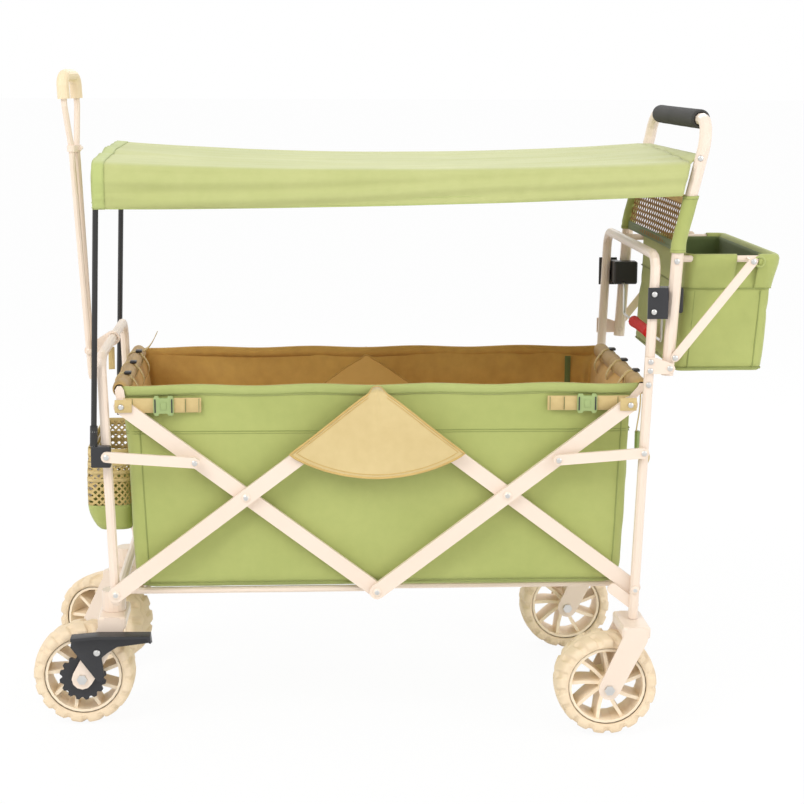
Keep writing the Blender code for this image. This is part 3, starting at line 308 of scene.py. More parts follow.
tub_green = woven("green_tub_cloth", (177, 184, 108), (163, 172, 95))
band_green = woven("green_binding", (178, 187, 114), (166, 175, 102), 1200, 0.1)
# The dark green cloth serves the real trims and stitching, and also the painted shade strips inside the tub's
# rear corners.
dark_green = woven("dark_green_trim_and_corner_shade", (112, 128, 74), (96, 112, 62), 1200, 0.1)
seam_green = woven("green_seam", (150, 160, 88), (138, 148, 78), 1200, 0.1)
lining_tan = woven("tan_lining", (222, 178, 94), (190, 144, 68), 900, 0.9, 0.2, 0.72, 3.4)
lining_light = woven("tan_lining_light", (234, 192, 114), (222, 178, 98), 900, 0.25)
roll_tan = woven("tan_roll_cloth", (198, 164, 102), (176, 140, 80), 900, 0.3)
patch_tan = woven("tan_patch_cloth", (220, 198, 144), (206, 182, 126), 900, 0.3)
piping_tan = woven("tan_piping", (218, 186, 116), (196, 162, 92), 1400, 0.1)
web_tan = webbing("tan_webbing", (222, 198, 142), (196, 170, 112))
canopy_pale = woven("pale_canopy_cloth", (190, 193, 130), (177, 182, 115), 1300, 0.30, 0.15)
canopy_band = woven("canopy_hem_band", (184, 194, 122), (174, 184, 112), 1300, 0.14, 0.15)
print("cloths woven")

# %% [markdown]
# ## Making helpers
# Cloth here is a grid that follows a formula, thickened by Solidify. Straps are ribbons swept
# along a path, piping is a round line made into a mesh, and small moulded parts are bevelled
# blocks. `along` reads a profile between its points.

# %% Helpers
def clamp(value):
    return min(1.0, max(0.0, value))


def along(stops, share):
    """The numbers part-way down a list of tuples, share from 0 to 1."""
    place = share * (len(stops) - 1)
    k = min(int(place), len(stops) - 2)
    mix = place - k
    return [first * (1 - mix) + second * mix for first, second in zip(stops[k], stops[k + 1])]


def across_ring(x, y, z, radius, turn):
    """A point of a circle about a line that runs across the cart."""
    return Vector((x + radius * cos(turn), y, z + radius * sin(turn)))


def upright_ring(x, y, z, radius, turn):
    """A point of a circle about an upright line."""
    return Vector((x + radius * cos(turn), y + radius * sin(turn), z))


sewn = {}


def adopt(name, mesh, finish, body):
    """Makes the mesh a smooth piece that rides a body, and notes it as sewn there."""
    mesh.materials.append(finish)
    mesh.shade_smooth()
    made = bpy.data.objects.new(name, mesh)
    bpy.context.collection.objects.link(made)
    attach(made, body)
    sewn.setdefault(body, []).append(made)
    return made


def to_mesh(name, bm):
    mesh = bpy.data.meshes.new(name)
    bm.to_mesh(mesh)
    bm.free()
    return mesh


def moulding(name, bm, finish, body, sharp):
    """A smooth solid, creased where its faces meet at more than that angle."""
    bmesh.ops.recalc_face_normals(bm, faces=bm.faces)
    made = adopt(name, to_mesh(name, bm), finish, body)
    made.data.set_sharp_from_angle(angle=radians(sharp))
    return made


def thicken(name, bm, finish, body, thickness, offset):
    """A sheet of faces, given a thickness."""
    made = adopt(name, to_mesh(name, bm), finish, body)
    shell = made.modifiers.new("thickness", "SOLIDIFY")
    shell.thickness = thickness
    shell.offset = offset
    return made


def cloth(name, spot, columns, rows, finish, body, thickness=0.0015, offset=0.0, ring=False):
    """A grid of spot(u, v) for u and v from 0 to 1; a ring closes on itself across u."""
    bm = bmesh.new()
    lines = []
    for j in range(rows + 1):
        count = columns if ring else columns + 1
        lines.append([bm.verts.new(spot(i / columns, j / rows)) for i in range(count)])
    for low, high in zip(lines, lines[1:]):
        for i in range(columns):
            k = (i + 1) % len(low)
            bm.faces.new((low[i], low[k], high[k], high[i]))
    return thicken(name, bm, finish, body, thickness, offset)


def ribbon(name, path, across, width, finish, body, thickness=0.0014):
    """A flat strap along the path; across is the direction of its width."""
    path = [Vector(p) for p in path]
    across = Vector(across).normalized() * width / 2
    bm = bmesh.new()
    rows = [(bm.verts.new(p - across), bm.verts.new(p + across)) for p in path]
    for (a, b), (c, d) in zip(rows, rows[1:]):
        bm.faces.new((a, b, d, c))
    made = thicken(name, bm, finish, body, thickness, 0.0)
    made.modifiers.new("edge", "BEVEL").width = thickness * 0.3
    return made


def piping(name, path, radius, finish, body, cyclic=False, sides=1):
    """A round line through the points, as a mesh."""
    curve = bpy.data.curves.new(name, "CURVE")
    curve.dimensions = "3D"
    curve.bevel_depth = radius
    curve.bevel_resolution = sides
    curve.use_fill_caps = True
    line = curve.splines.new("POLY")
    line.points.add(len(path) - 1)
    for point, place in zip(line.points, path):
        point.co = (*place, 1.0)
    line.use_cyclic_u = cyclic
    drawn = bpy.data.objects.new(name + "_line", curve)
    bpy.context.collection.objects.link(drawn)
    bpy.context.view_layer.update()
    mesh = bpy.data.meshes.new_from_object(drawn.evaluated_get(bpy.context.evaluated_depsgraph_get()))
    bpy.data.objects.remove(drawn)
    bpy.data.curves.remove(curve)
    mesh.name = name
    return adopt(name, mesh, finish, body)


def block(name, low, high, finish, body, bevel=0.002):
    """A moulded block with round edges."""
    bm = bmesh.new()
    bmesh.ops.create_cube(bm, size=1.0)
    low, high = Vector(low), Vector(high)
    for vert in bm.verts:
        vert.co = Vector([(low[k] + high[k]) / 2 + vert.co[k] * (high[k] - low[k]) for k in range(3)])
    bmesh.ops.bevel(bm, geom=bm.edges[:], offset=bevel, segments=3, affect="EDGES", profile=0.5)
    return moulding(name, bm, finish, body, 60)


def drift(x, y, z):
    """Smooth signed noise that depends only on the place, so reruns match."""
    return noise.noise(Vector((x, y, z)))


def crumple(x, z, seed=0.0, scale=9.0):
    """A ripple of two sizes."""
    return drift(x * scale, seed, z * scale) + 0.5 * drift(x * scale * 2.3, seed + 7.0, z * scale * 2.3)


print("helpers ready")

# %% [markdown]
# ## The camera and the soft light
# A long lens from the near side, a little above the canopy, as a catalogue picture is taken.
# The floor and the sky answer the camera with white, while the object is lit at a plain level.

# %% Camera
sensor_mm = 36.0
picture_pixels = 804
focal_pixels = 1888.4


def aim(place, yaw, pitch, roll):
    forward = Vector((sin(yaw) * cos(pitch), cos(yaw) * cos(pitch), -sin(pitch)))
    right = Vector((cos(yaw), -sin(yaw), 0.0))
    up = right.cross(forward)
    across = cos(roll) * right + sin(roll) * up
    rise = -sin(roll) * right + cos(roll) * up
    data = bpy.data.cameras.new("camera")
    data.lens = focal_pixels * sensor_mm / picture_pixels
    data.sensor_width = sensor_mm
    made = bpy.data.objects.new("camera", data)
    turn = Matrix((across, rise, -forward)).transposed().to_4x4()
    made.matrix_world = Matrix.Translation(place) @ turn
    bpy.context.collection.objects.link(made)
    bpy.context.scene.camera = made
    return made


camera = aim((-0.1941, -3.3999, 1.1527), 0.0603, 0.1772, 0.0045)
print("lens %.1f mm" % camera.data.lens)

# %% Light, sky and floor
def softbox(name, place, target_height, power):
    data = bpy.data.lights.new(name, "AREA")
    data.shape = "DISK"
    data.size = 2.4
    data.energy = power
    made = bpy.data.objects.new(name, data)
    made.location = place
    target = Vector((0, 0, target_height))
    made.rotation_euler = (target - Vector(place)).to_track_quat("-Z", "Y").to_euler()
    bpy.context.collection.objects.link(made)


softbox("key_light", (-2.2, -2.6, 3.4), 0.5, 78)
softbox("fill_light", (3.0, -2.2, 2.0), 0.5, 36)
softbox("back_light", (0.6, 3.0, 2.8), 0.6, 30)


def unseen(tree):
    """1 where the ray comes from the camera, a mirror or glass, and 0 for the light itself."""
    eye, gloss, glass = (tree.node("ShaderNodeLightPath", output="Is %s Ray" % kind)
                         for kind in ("Camera", "Glossy", "Transmission"))
    return tree.maths("MAXIMUM", tree.maths("MAXIMUM", eye, gloss), glass)


white = (1.0, 1.0, 1.0)
sky_strength = 0.82
floor_grey = 0.93
floor_glow = 0.94
floor_half = 60.0
sky = bpy.data.worlds.new("sky")
sky.use_nodes = True
bpy.context.scene.world = sky
air = Tree(sky.node_tree)
lamp = sky.node_tree.nodes["Background"]
air.join(white, lamp.inputs["Color"])
air.join(sky_strength, lamp.inputs["Strength"])
seen = air.node("ShaderNodeBackground", {}, {"Color": white, "Strength": 1.0})
air.blend(unseen(air), Wire(air, lamp.outputs[0]), seen, "World Output")

studio = Finish("studio_floor", 0.9)
studio.colour((floor_grey,) * 3)
glow = studio.node("ShaderNodeEmission", {}, {"Strength": 1.0})
studio.blend(unseen(studio) * floor_glow, Wire(studio, studio.shader.outputs[0]), glow, "Material Output")
ground = bmesh.new()
bmesh.ops.create_grid(ground, x_segments=2, y_segments=2, size=floor_half)
floor = bpy.data.objects.new("studio_floor", to_mesh("studio_floor", ground))
floor.data.materials.append(studio.material)
floor.location.z = -0.001
bpy.context.collection.objects.link(floor)
floor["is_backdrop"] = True
bpy.context.scene.view_settings.view_transform = "Standard"
print("lights on")

# %% [markdown]
# ## The tub
# The real tub is one sewn bag: a floor, four walls and a turned rim. So is this one. A single
# grid runs from the middle of the floor out to a rounded rectangle and up the wall, and
# small noise dents it where the cloth hangs loose. A second grid, just inside, is the lining.

# %% A rounded rectangle to sew along
def corner_path(share, low_x, high_x, half_y, radius):
    """A point on a rounded rectangle and the outward direction there, share from 0 to 1."""
    straight_x = high_x - low_x - 2 * radius
    straight_y = 2 * (half_y - radius)
    arc = radius * pi / 2
    place = (share % 1.0) * (2 * straight_x + 2 * straight_y + 4 * arc)
    x, y, heading = low_x + radius, -half_y, 0.0

    def walk(length, turn):
        """Where a straight run, or an arc where turn is a number, ends."""
        if turn is None:
            return x + length * cos(heading), y + length * sin(heading), heading
        centre = Vector((x - radius * sin(heading), y + radius * cos(heading)))
        after = heading + turn
        return centre.x + radius * sin(after), centre.y - radius * cos(after), after

    for length, turn in ((straight_x, None), (arc, pi / 2), (straight_y, None), (arc, pi / 2)) * 2:
        if place <= length:
            break
        place -= length
        x, y, heading = walk(length, turn)
    x, y, heading = walk(place, None if turn is None else place / radius)
    return Vector((x, y)), Vector((sin(heading), -cos(heading)))


front_x = middle - 0.4240
rear_x = middle + 0.4434
rim_z = 0.6115
floor_z = 0.2585
tub_columns = 260
tub_floor_share = 0.16
dent_depth = 0.0035
lining_dents = 2.8


def wall_ripple(x, y, z, way):
    """The dents of the tub's wall; way is how far the wall faces to the side."""
    return crumple(x + y + 0.7 * z, z, 3.0 + 40.0 * way * wall_y, 6.0)


def tub_point(share, z, inset=0.0, dents=1.0):
    """A point of the tub's wall at height z, dented by noise and pulled in by inset."""
    low = max(0.0, (0.300 - z) / 0.040)
    wrap = clamp((z - 0.584) / 0.018)
    lean = clamp((z - 0.27) / 0.28)
    front = front_x + 0.0060 - 0.0140 * lean + 0.004 * low - 0.0030 * wrap
    rear = rear_x - 0.0120 * (1 - lean) - 0.004 * low + 0.0115 * wrap
    spot, out = corner_path(share, front, rear, wall_y - 0.001, 0.018 - 0.008 * wrap)
    loose = clamp((z - floor_z) / 0.05) * clamp((rim_z - z) / 0.05)
    ripple = wall_ripple(spot.x, spot.y, z, out.y)
    push = dents * loose * (dent_depth * ripple - dent_depth) - inset - 0.003 * low * low
    pull = 0.0015 * sin(spot.x * 31.0) * clamp((z - 0.56) / 0.05)
    spot = spot + out * push
    return Vector((spot.x, spot.y, z + pull * (z > 0.56)))


def tub_wall(inset, dents, top, bottom):
    """The tub's floor, for v below its share, and its wall above."""
    middle_x = (front_x + rear_x) / 2

    def spot(u, v):
        if v < tub_floor_share:
            edge = tub_point(u, bottom + 0.012, inset, dents)
            share = 0.02 + 0.95 * v / tub_floor_share
            sag = 0.0008 * crumple(edge.x * share, edge.y * share, 11.0, 8.0)
            return Vector((middle_x + (edge.x - middle_x) * share, edge.y * share, bottom + sag))
        height = bottom + 0.004 + (top - bottom - 0.004) * (v - tub_floor_share) / (1 - tub_floor_share)
        return tub_point(u, height, inset, dents)

    return spot


tub_shell = cloth("tub_shell", tub_wall(0.0, 1.0, rim_z, floor_z), tub_columns, 44, tub_green,
                  "tub", 0.0012, ring=True)
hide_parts("tub_liner")
cloth("tub_lining", tub_wall(0.0035, lining_dents, rim_z - 0.001, floor_z + 0.0034), tub_columns, 44,
      lining_tan, "tub", 0.0010, ring=True)
print("tub sewn:", len(tub_shell.data.polygons), "quads outside")

# %% [markdown]
# ## Bindings and seams on the tub
# A folded green hem closes the rim, a double line of stitching runs round below it, and a
# piped edge keeps the floor square. Each is a thin ring that follows the same wall.

# %% Rim, seams and piping
def ring_band(name, heights, finish):
    """A band round the tub through (height, inset) pairs."""
    def spot(u, v):
        z, inset = along(heights, v)
        return tub_point(u, z, inset)
    cloth(name, spot, tub_columns, len(heights) - 1, finish, "tub", 0.0012, ring=True)


ring_band("rim_hem_outside", [(0.5955, -0.0007), (0.5975, -0.0016), (0.6060, -0.0016), (0.6125, -0.0006),
                              (0.6132, 0.0015)], band_green)
ring_band("rim_hem_inside", [(0.6134, 0.0016), (0.6125, 0.0040), (0.6040, 0.0052), (0.5950, 0.0052)],
          lining_tan)
wall_lines = [("seam_upper", 0.5330, -0.0006, 0.0009), ("seam_lower", 0.5290, -0.0006, 0.0007),
              ("rim_stitch", 0.5985, -0.0032, 0.0005), ("floor_piping", 0.2640, -0.0010, 0.0016)]
for name, z, inset, radius in wall_lines:
    path = [tub_point(k / 240, z, inset) for k in range(240)]
    piping(name, path, radius, seam_green, "tub", cyclic=True)
for side in (-1, 1):
    for x in (front_x + 0.020, rear_x - 0.020):
        path = []
        for k in range(25):
            lean = (0.012 if x < 0 else -0.012) * max(0.0, 1 - k / 20)
            point = Vector((x + lean, side * (wall_y - 0.0010), 0.268 + k * 0.0131))
            ripple = wall_ripple(*point, side)
            path.append(point + Vector((0, side * (dent_depth * ripple - 0.0030), 0)))
        piping("corner_seam_%d_%d" % (side > 0, x > 0), path, 0.0013, seam_green, "tub")
# A dark green strip down each inner wall, a little short of the rear end, is painted shade: it stands for the
# shade in the tub's rear inside corners.
for side in (-1, 1):
    path = [Vector((rear_x - 0.052, side * (wall_y - 0.0175), 0.30 + k * 0.0123)) for k in range(25)]
    ribbon("rear_corner_painted_shade_%d" % (side > 0), path, (1, 0, 0), 0.011, dark_green, "tub")
print("rim bound, seams run")

# %% [markdown]
# ## The fan-shaped patch
# Where the links cross, a tan cloth hangs from the rim over them, so hands and cloth are kept
# out of the joint. It is a fan: a rounded point at the rim, straight piped sides and a lower
# edge that bows down. The same shape is sewn inside, on the lining.

# %% Patches
def fan(side, top, half, corner_z, low_z, out_top, out_low, crease=0.0012):
    """Points of a fan from its top to its bowed edge, hanging on that side."""
    def spot(u, v):
        across = 2 * u - 1
        edge = Vector((half * across, corner_z + (low_z - corner_z) * (1 - across ** 2) ** 0.9))
        round_top = 0.085 * (1 - v)
        width = v + round_top * (1 - v) * 0.9
        x = edge.x * min(1.0, width)
        z = top + (edge.y - top) * v - 0.006 * across ** 2 * (1 - v) ** 6
        hang = min(1.0, v * 34.0)
        lift = out_top + (out_low - out_top) * hang ** 0.6
        lift += crease * max(0.0, 1 - abs(across) * 7) * (1 - v * 0.4)
        lift += 0.0010 * crumple(x, z, 20.0, 16.0) * v
        return Vector((middle + x, side * lift, z))
    return spot


def fan_edge(spot, steps=40):
    """The fan's outline: down one side, along the bow and up the other."""
    left = [spot(0.0, k / steps) for k in range(1, steps + 1)]
    bow = [spot(k / steps, 1.0) for k in range(1, steps)]
    right = [spot(1.0, 1 - k / steps) for k in range(steps)]
    top = [spot(1 - k / 6, 0.0) for k in range(1, 6)]
    return left + bow + right + top


def on_lining(flat, side):
    """Lays a flat shape on the lining, dents and all."""
    def spot(u, v):
        point = flat(u, v)
        y = side * (wall_y - 0.001)
        loose = clamp((rim_z - point.z) / 0.05)
        ripple = wall_ripple(point.x, y, point.z, side)
        point.y = y - side * (0.0060 - lining_dents * loose * (dent_depth * ripple - dent_depth))
        return point
    return spot


for side, word in sides:
    outside = fan(side, 0.6100, 0.149, 0.498, 0.4565, wall_y + 0.0035, 0.2528)
    outline = fan_edge(outside)
    patch = cloth("patch_" + word, outside, 60, 44, patch_tan, "tub", 0.0013)
    piping("patch_piping_" + word, outline, 0.0021, piping_tan, "tub", True)
    stitch = [p.lerp(Vector((middle, p.y, 0.535)), 0.075) + Vector((0, side * 0.0008, 0)) for p in outline]
    piping("patch_stitch_" + word, stitch, 0.0007, piping_tan, "tub", True)
    inside = on_lining(fan(side, 0.5975, 0.118, 0.520, 0.470, 0.0, 0.0, 0.0), side)
    flap = cloth("inner_flap_" + word, inside, 40, 30, lining_light, "tub", 0.0012)
    piping("flap_piping_" + word, fan_edge(inside), 0.0016, lining_tan, "tub", True)
print("patches hung")

# %% [markdown]
# ## Corner straps and buckles
# Four webbing straps tie the tub's corners to the ends of the links. Each has a pale green
# side-release buckle. The buckle is a body with two side wings and a waist, so its outline
# is drawn once, given a thickness and bevelled.

# %% Side-release buckle
def plate(name, outline, low_y, high_y, finish, body, bevel=0.0008):
    """A flat moulded part from an outline in x and z, with a bevelled edge."""
    bm = bmesh.new()
    ring = [bm.verts.new((x, low_y, z)) for x, z in outline]
    face = bm.faces.new(ring)
    grown = bmesh.ops.extrude_face_region(bm, geom=[face])
    for item in grown["geom"]:
        if isinstance(item, bmesh.types.BMVert):
            item.co.y = high_y
    bmesh.ops.recalc_face_normals(bm, faces=bm.faces)
    flat = 1e-6
    rims = [edge for edge in bm.edges if abs(edge.verts[0].co.y - edge.verts[1].co.y) < flat]
    bmesh.ops.bevel(bm, geom=rims, offset=bevel, segments=2, affect="EDGES", profile=0.6)
    return moulding(name, bm, finish, body, 40)


def buckle_outline(centre_x, centre_z, facing):
    """Half wings and a waist, mirrored: points in x and z."""
    half = [(-0.0172, 0.0126), (-0.0148, 0.0170), (-0.0088, 0.0170), (-0.0070, 0.0134),
            (0.0062, 0.0134), (0.0080, 0.0168), (0.0150, 0.0170), (0.0172, 0.0128)]
    whole = half + [(x, -z) for x, z in reversed(half)]
    return [(centre_x + facing * x, centre_z + z) for x, z in whole]


strap_z = 0.5800
strap_width = 0.0252
strap_steps = 18


def off_wall(side, inner, outer):
    """Two places across the cart, that far outside the tub's wall, the lower one first."""
    return sorted((side * (wall_y + inner), side * (wall_y + outer)))


def corner_strap(word, side, facing, tip_x, buckle_x, end_x):
    """Webbing, buckle and its fold-over, on one corner of the tub."""
    def strap(part, first, last, out, bulge, width, thickness):
        path = [Vector((middle + first + (last - first) * k / strap_steps,
                        side * (wall_y + out + bulge * sin(pi * k / strap_steps)), strap_z))
                for k in range(strap_steps + 1)]
        ribbon("strap_%s_%s" % (part, word), path, (0, 0, 1), width, web_tan, "tub", thickness)

    def bar(name, x, half_x, half_z, finish, bevel):
        low, high = off_wall(side, 0.0112, 0.0128)
        block(name, (x - half_x, low, strap_z - half_z), (x + half_x, high, strap_z + half_z),
              finish, "tub", bevel)

    fold = end_x + (buckle_x - end_x) * 0.42
    strap("tab", tip_x - facing * 0.004, buckle_x, 0.0045, 0.0016, strap_width, 0.0016)
    strap("tail", buckle_x, end_x, 0.0036, 0.0, strap_width, 0.0016)
    strap("fold", buckle_x, fold, 0.0056, 0.0, 0.0248, 0.0014)
    stitched = (fold, end_x + (buckle_x - end_x) * 0.06, tip_x + (buckle_x - tip_x) * 0.22)
    for k, x in enumerate(stitched):
        stitch = [Vector((middle + x, side * (wall_y + 0.0068), strap_z - 0.0112 + 0.0224 * j / 6))
                  for j in range(7)]
        piping("strap_stitch_%s_%d" % (word, k), stitch, 0.0005, dark_green, "tub")
    low, high = off_wall(side, 0.0050, 0.0115)
    plate("buckle_" + word, buckle_outline(middle + buckle_x, strap_z, facing), low, high,
          buckle_green, "tub", 0.0014)
    bar("buckle_rib_" + word, middle + buckle_x, 0.0050, 0.0065, buckle_green, 0.0007)
    for k in (-1, 1):
        bar("buckle_bar_%s_%d" % (word, k > 0), middle + buckle_x + k * 0.0142, 0.0011, 0.0118, black, 0.0006)


for side, word in sides:
    corner_strap("front_" + word, side, 1, -0.4300, -0.3625, -0.2990)
    corner_strap("rear_" + word, side, -1, 0.4300, 0.3615, 0.2936)
print("corners strapped")

# %% [markdown]
# ## The rolled ends
# At each end the cloth is wrapped round a bar between the link tips and tied with webbing.
# The wrap is a padded roll whose section swells and pinches a little, with a loop of webbing
# and a black cam buckle wherever it is tied.

# %% Rolls and ties
def roll(name, x, z, radius, half, finish, body, seed):
    """A padded roll along y, crowned between its ties."""
    def spot(u, v):
        y = -half + 2 * half * v
        turn = 2 * pi * u
        ends = min(1.0, (1 - abs(2 * v - 1)) * 14) ** 0.5
        swell = 1 + 0.10 * drift(seed, y * 22.0, cos(turn) * 1.2) - 0.05 * sin(y * 46.0) ** 8
        size = radius * (0.72 + 0.28 * ends) * swell
        return Vector((x + size * cos(turn), y, z + size * 1.02 * sin(turn)))
    return cloth(name, spot, 28, 90, finish, body, 0.0012, -1.0, ring=True)


def tie(name, x, y, z, radius, body, tail_way):
    """A webbing loop round a roll, with a cam buckle and a short tail."""
    loop = [Vector((x + (radius + 0.0016) * cos(a), y + 0.003 * sin(a), z + (radius + 0.0016) * sin(a)))
            for a in [2 * pi * k / 28 for k in range(29)]]
    ribbon(name + "_loop", loop, (0, 1, 0), 0.0150, web_tan, body, 0.0014)
    tail = [Vector((x + tail_way * (radius + 0.002 + 0.010 * sin(pi * k / 12)), y + 0.006 * k / 12,
                    z + 0.006 - 0.046 * k / 12)) for k in range(13)]
    ribbon(name + "_tail", tail, (0, 1, 0), 0.0150, web_tan, body, 0.0014)
    up = z + radius + 0.0010
    block(name + "_cam", (x + 0.001, y - 0.008, up - 0.001), (x + 0.013, y + 0.008, up + 0.0040), black, body,
          0.0018)


roll_z = 0.6055
for word, x, body, inward in (("front", middle - 0.4370, "scissor_a", 1),
                              ("rear", middle + 0.4565, "scissor_d", -1)):
    wrap = roll("rolled_end_" + word, x, roll_z, 0.0128, 0.2190, roll_tan, body, 3.0 + inward)
    for side in (-1, 1):
        y_low, y_high = sorted((side * 0.2215, side * 0.2250))
        ear = [(x - inward * 0.0035, 0.6132), (x - inward * 0.0078, 0.6060),
               (middle - inward * 0.4410, 0.5800), (middle - inward * 0.4335, 0.5715),
               (middle - inward * 0.4260, 0.5800), (x + inward * 0.0078, 0.6060),
               (x + inward * 0.0035, 0.6132)]
        plate("end_ear_%s_%d" % (word, side > 0), ear, y_low, y_high, cream, body)
    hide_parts("rim_roll_" + word)
    for k, y in enumerate((-0.130, -0.010, 0.120)):
        tie("tie_%s_%d" % (word, k), x, y, roll_z, 0.0132, body, inward)
print("ends rolled")

# %% [markdown]
# ## Canopy
# The canopy is one cloth. It is pulled over the front bow and over a rod on the push handle,
# so its top is nearly flat, sinks a little between them, and turns down at both sides in a
# flap. Long shallow ridges run from the corners, where the pull is strongest.

# %% Canopy cloth
cover_front = middle - 0.4722
cover_rear = middle + 0.5240
flap_depth_front = 0.0725
flap_depth_rear = 0.0510
canopy_half = 0.2515
near_height = 0.9905
far_height = 1.0050
side_share = 0.16
band_share = 0.0205
length_steps = 150


def canopy_point(u, v):
    """u crosses the cart from the near flap to the far one, v runs from front to rear."""
    x = cover_front + (cover_rear - cover_front) * v
    sag = 4 * v * (1 - v)
    near_top = near_height - 0.0090 * sag + 0.0010 * v
    far_top = far_height - 0.0015 * v - 0.0150 * sag
    flap = flap_depth_front + (flap_depth_rear - flap_depth_front) * (1 - (1 - v) ** 1.6)
    tension = drift(x * 2.6, u * 14.0, 4.0)
    tension += 0.5 * drift(x * 8.0, u * 26.0, 9.0)
    if u < side_share or u > 1 - side_share:
        near = u < side_share
        down = (side_share - u) / side_share if near else (u - 1 + side_share) / side_share
        top = near_top if near else far_top
        bow = 0.0028 * sin(pi * min(1.0, down)) + 0.0042 * tension * down
        pleat = 0.5 + 0.5 * sin(13.0 * down + 1.9 * sin(x * 4.2) + 2.4 * x)
        ridge = 0.0062 * pleat * (0.5 + 0.5 * (1 - v)) * min(1.0, 3.0 * down) * min(1.0, 9.0 * v + 0.15)
        ridge += 0.0012 * sin(34.0 * down + 9.0 * x) * max(0.0, 1 - 7.0 * v) * down
        y = canopy_half + bow + ridge - 0.002 * down
        slant = -0.012 * down * v ** 24
        return Vector((x + slant, -y if near else y, top - 0.004 - flap * down))
    across = (u - side_share) / (1 - 2 * side_share)
    bend = 2 * across - 1
    base = near_top + (far_top - near_top) * across
    crown = 0.0040 * (1 - bend ** 2) - 0.010 * sag * (1 - bend ** 4)
    shoulder = -0.004 * max(0.0, abs(bend) - 0.94) / 0.06
    ridges = 0.0034 * tension * (1 - bend ** 6)
    z = min(base + crown + shoulder + ridges, 1.0060)
    return Vector((x, canopy_half * bend, z))


canopy = cloth("canopy_sheet", canopy_point, 110, length_steps, canopy_pale, "front_frame", 0.0011)
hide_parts("canopy_cover")


def flap_edge(side, lift, out):
    """The flap's lower edge, moved up and outwards by a little."""
    u = 0.0 if side < 0 else 1.0
    move = Vector((0, side * out, lift))
    return [canopy_point(u, k / length_steps) + move for k in range(length_steps + 1)]


for side, word in sides:
    for k, (lift, radius) in enumerate(((0.0010, 0.0012), (0.0125, 0.0005))):
        piping("canopy_hem_%s_%d" % (word, k), flap_edge(side, lift, 0.0004), radius,
               canopy_band, "front_frame")


def front_hem(u, v):
    """A doubled band over the bow's edge, a little proud of the sheet."""
    spot, near, far = (canopy_point(clamp(u + step), band_share * v) for step in (0.0, -0.004, 0.004))
    run = far - near
    return spot + Vector((0, -run.z, run.y)).normalized() * 0.0013


cloth("canopy_front_band", front_hem, 110, 4, canopy_band, "front_frame", 0.0010)
print("canopy stretched over", round(cover_rear - cover_front, 3), "m")

# %% Front apron and rear sleeve
def apron(u, v):
    """A short apron that turns down over the front bow."""
    join = canopy_point(0.16 + 0.68 * u, 0.0)
    y = join.y
    top = join.z + 0.0005
    low = 0.9125 + 0.0090 * u
    edge = abs(2 * u - 1)
    bow = 0.0014 * sin(pi * min(1.0, v * 1.2)) + 0.0010 * drift(y * 9.0, v * 3.0, 1.0)
    rounding = 0.0012 * (1 - v) ** 6
    return Vector((join.x - 0.0006 - bow + rounding + 0.0010 * edge ** 6, y, top + (low - top) * v))


front_apron = cloth("canopy_apron", apron, 70, 16, canopy_pale, "front_frame", 0.0011)
for k, low in enumerate((0.0700, 0.0620)):
    line = [apron(j / 70, low / 0.074) + Vector((-0.0012, 0, 0)) for j in range(71)]
    piping("apron_hem_%d" % k, line, 0.0007, canopy_band, "front_frame")


rod_x = middle + 0.5440
rod_z = 0.9973


def rod_y(u):
    return -0.2240 + 0.4480 * u


def sleeve(u, v):
    """The hem that wraps the rod between the push handle's legs."""
    turn = radians(100) - radians(300) * v
    y = rod_y(u)
    radius = 0.0068 + 0.0006 * drift(y * 12.0, v * 3.0, 2.0)
    return across_ring(rod_x + 0.0002, y, rod_z, radius, turn)


cloth("canopy_sleeve", sleeve, 60, 18, canopy_pale, "front_frame", 0.0010)


def bridge(u, v):
    """Cloth between the sheet's rear edge and the rod's sleeve."""
    start = canopy_point(0.165 + 0.67 * u, 1.0)
    return start.lerp(Vector((rod_x, rod_y(u), rod_z + 0.0070)), v)


cloth("canopy_bridge", bridge, 60, 4, canopy_pale, "front_frame", 0.0010)
print("canopy trimmed with an apron, a sleeve and hems")

# %% [markdown]
# ## Tyres
# The real tyres are fat and soft, with blocks that wrap from the tread down the shoulder.
# A ring of the tyre's profile is swept round the axle. A wave that shears with the profile
# says where a block is and where a groove is, and the points sink by that much.

# %% Lugged tyres
half_profile = [(-0.0325, 0.0680), (-0.0352, 0.0700), (-0.0366, 0.0730), (-0.0372, 0.0765), (-0.0370, 0.0800),
                (-0.0356, 0.0832), (-0.0325, 0.0856), (-0.0285, 0.0868), (-0.0235, 0.0877), (-0.0180, 0.0883),
                (-0.0120, 0.0887), (-0.0070, 0.0889), (-0.0030, 0.0889)]
tyre_profile = half_profile + [(-width, radius) for width, radius in reversed(half_profile)]
axle_z = 0.0890
lugs = 17
lug_depth = 0.0046
line_depth = 0.0016


def step_between(low, high, value):
    """0 below low, 1 above high and a smooth rise between."""
    share = clamp((value - low) / (high - low))
    return share * share * (3 - 2 * share)


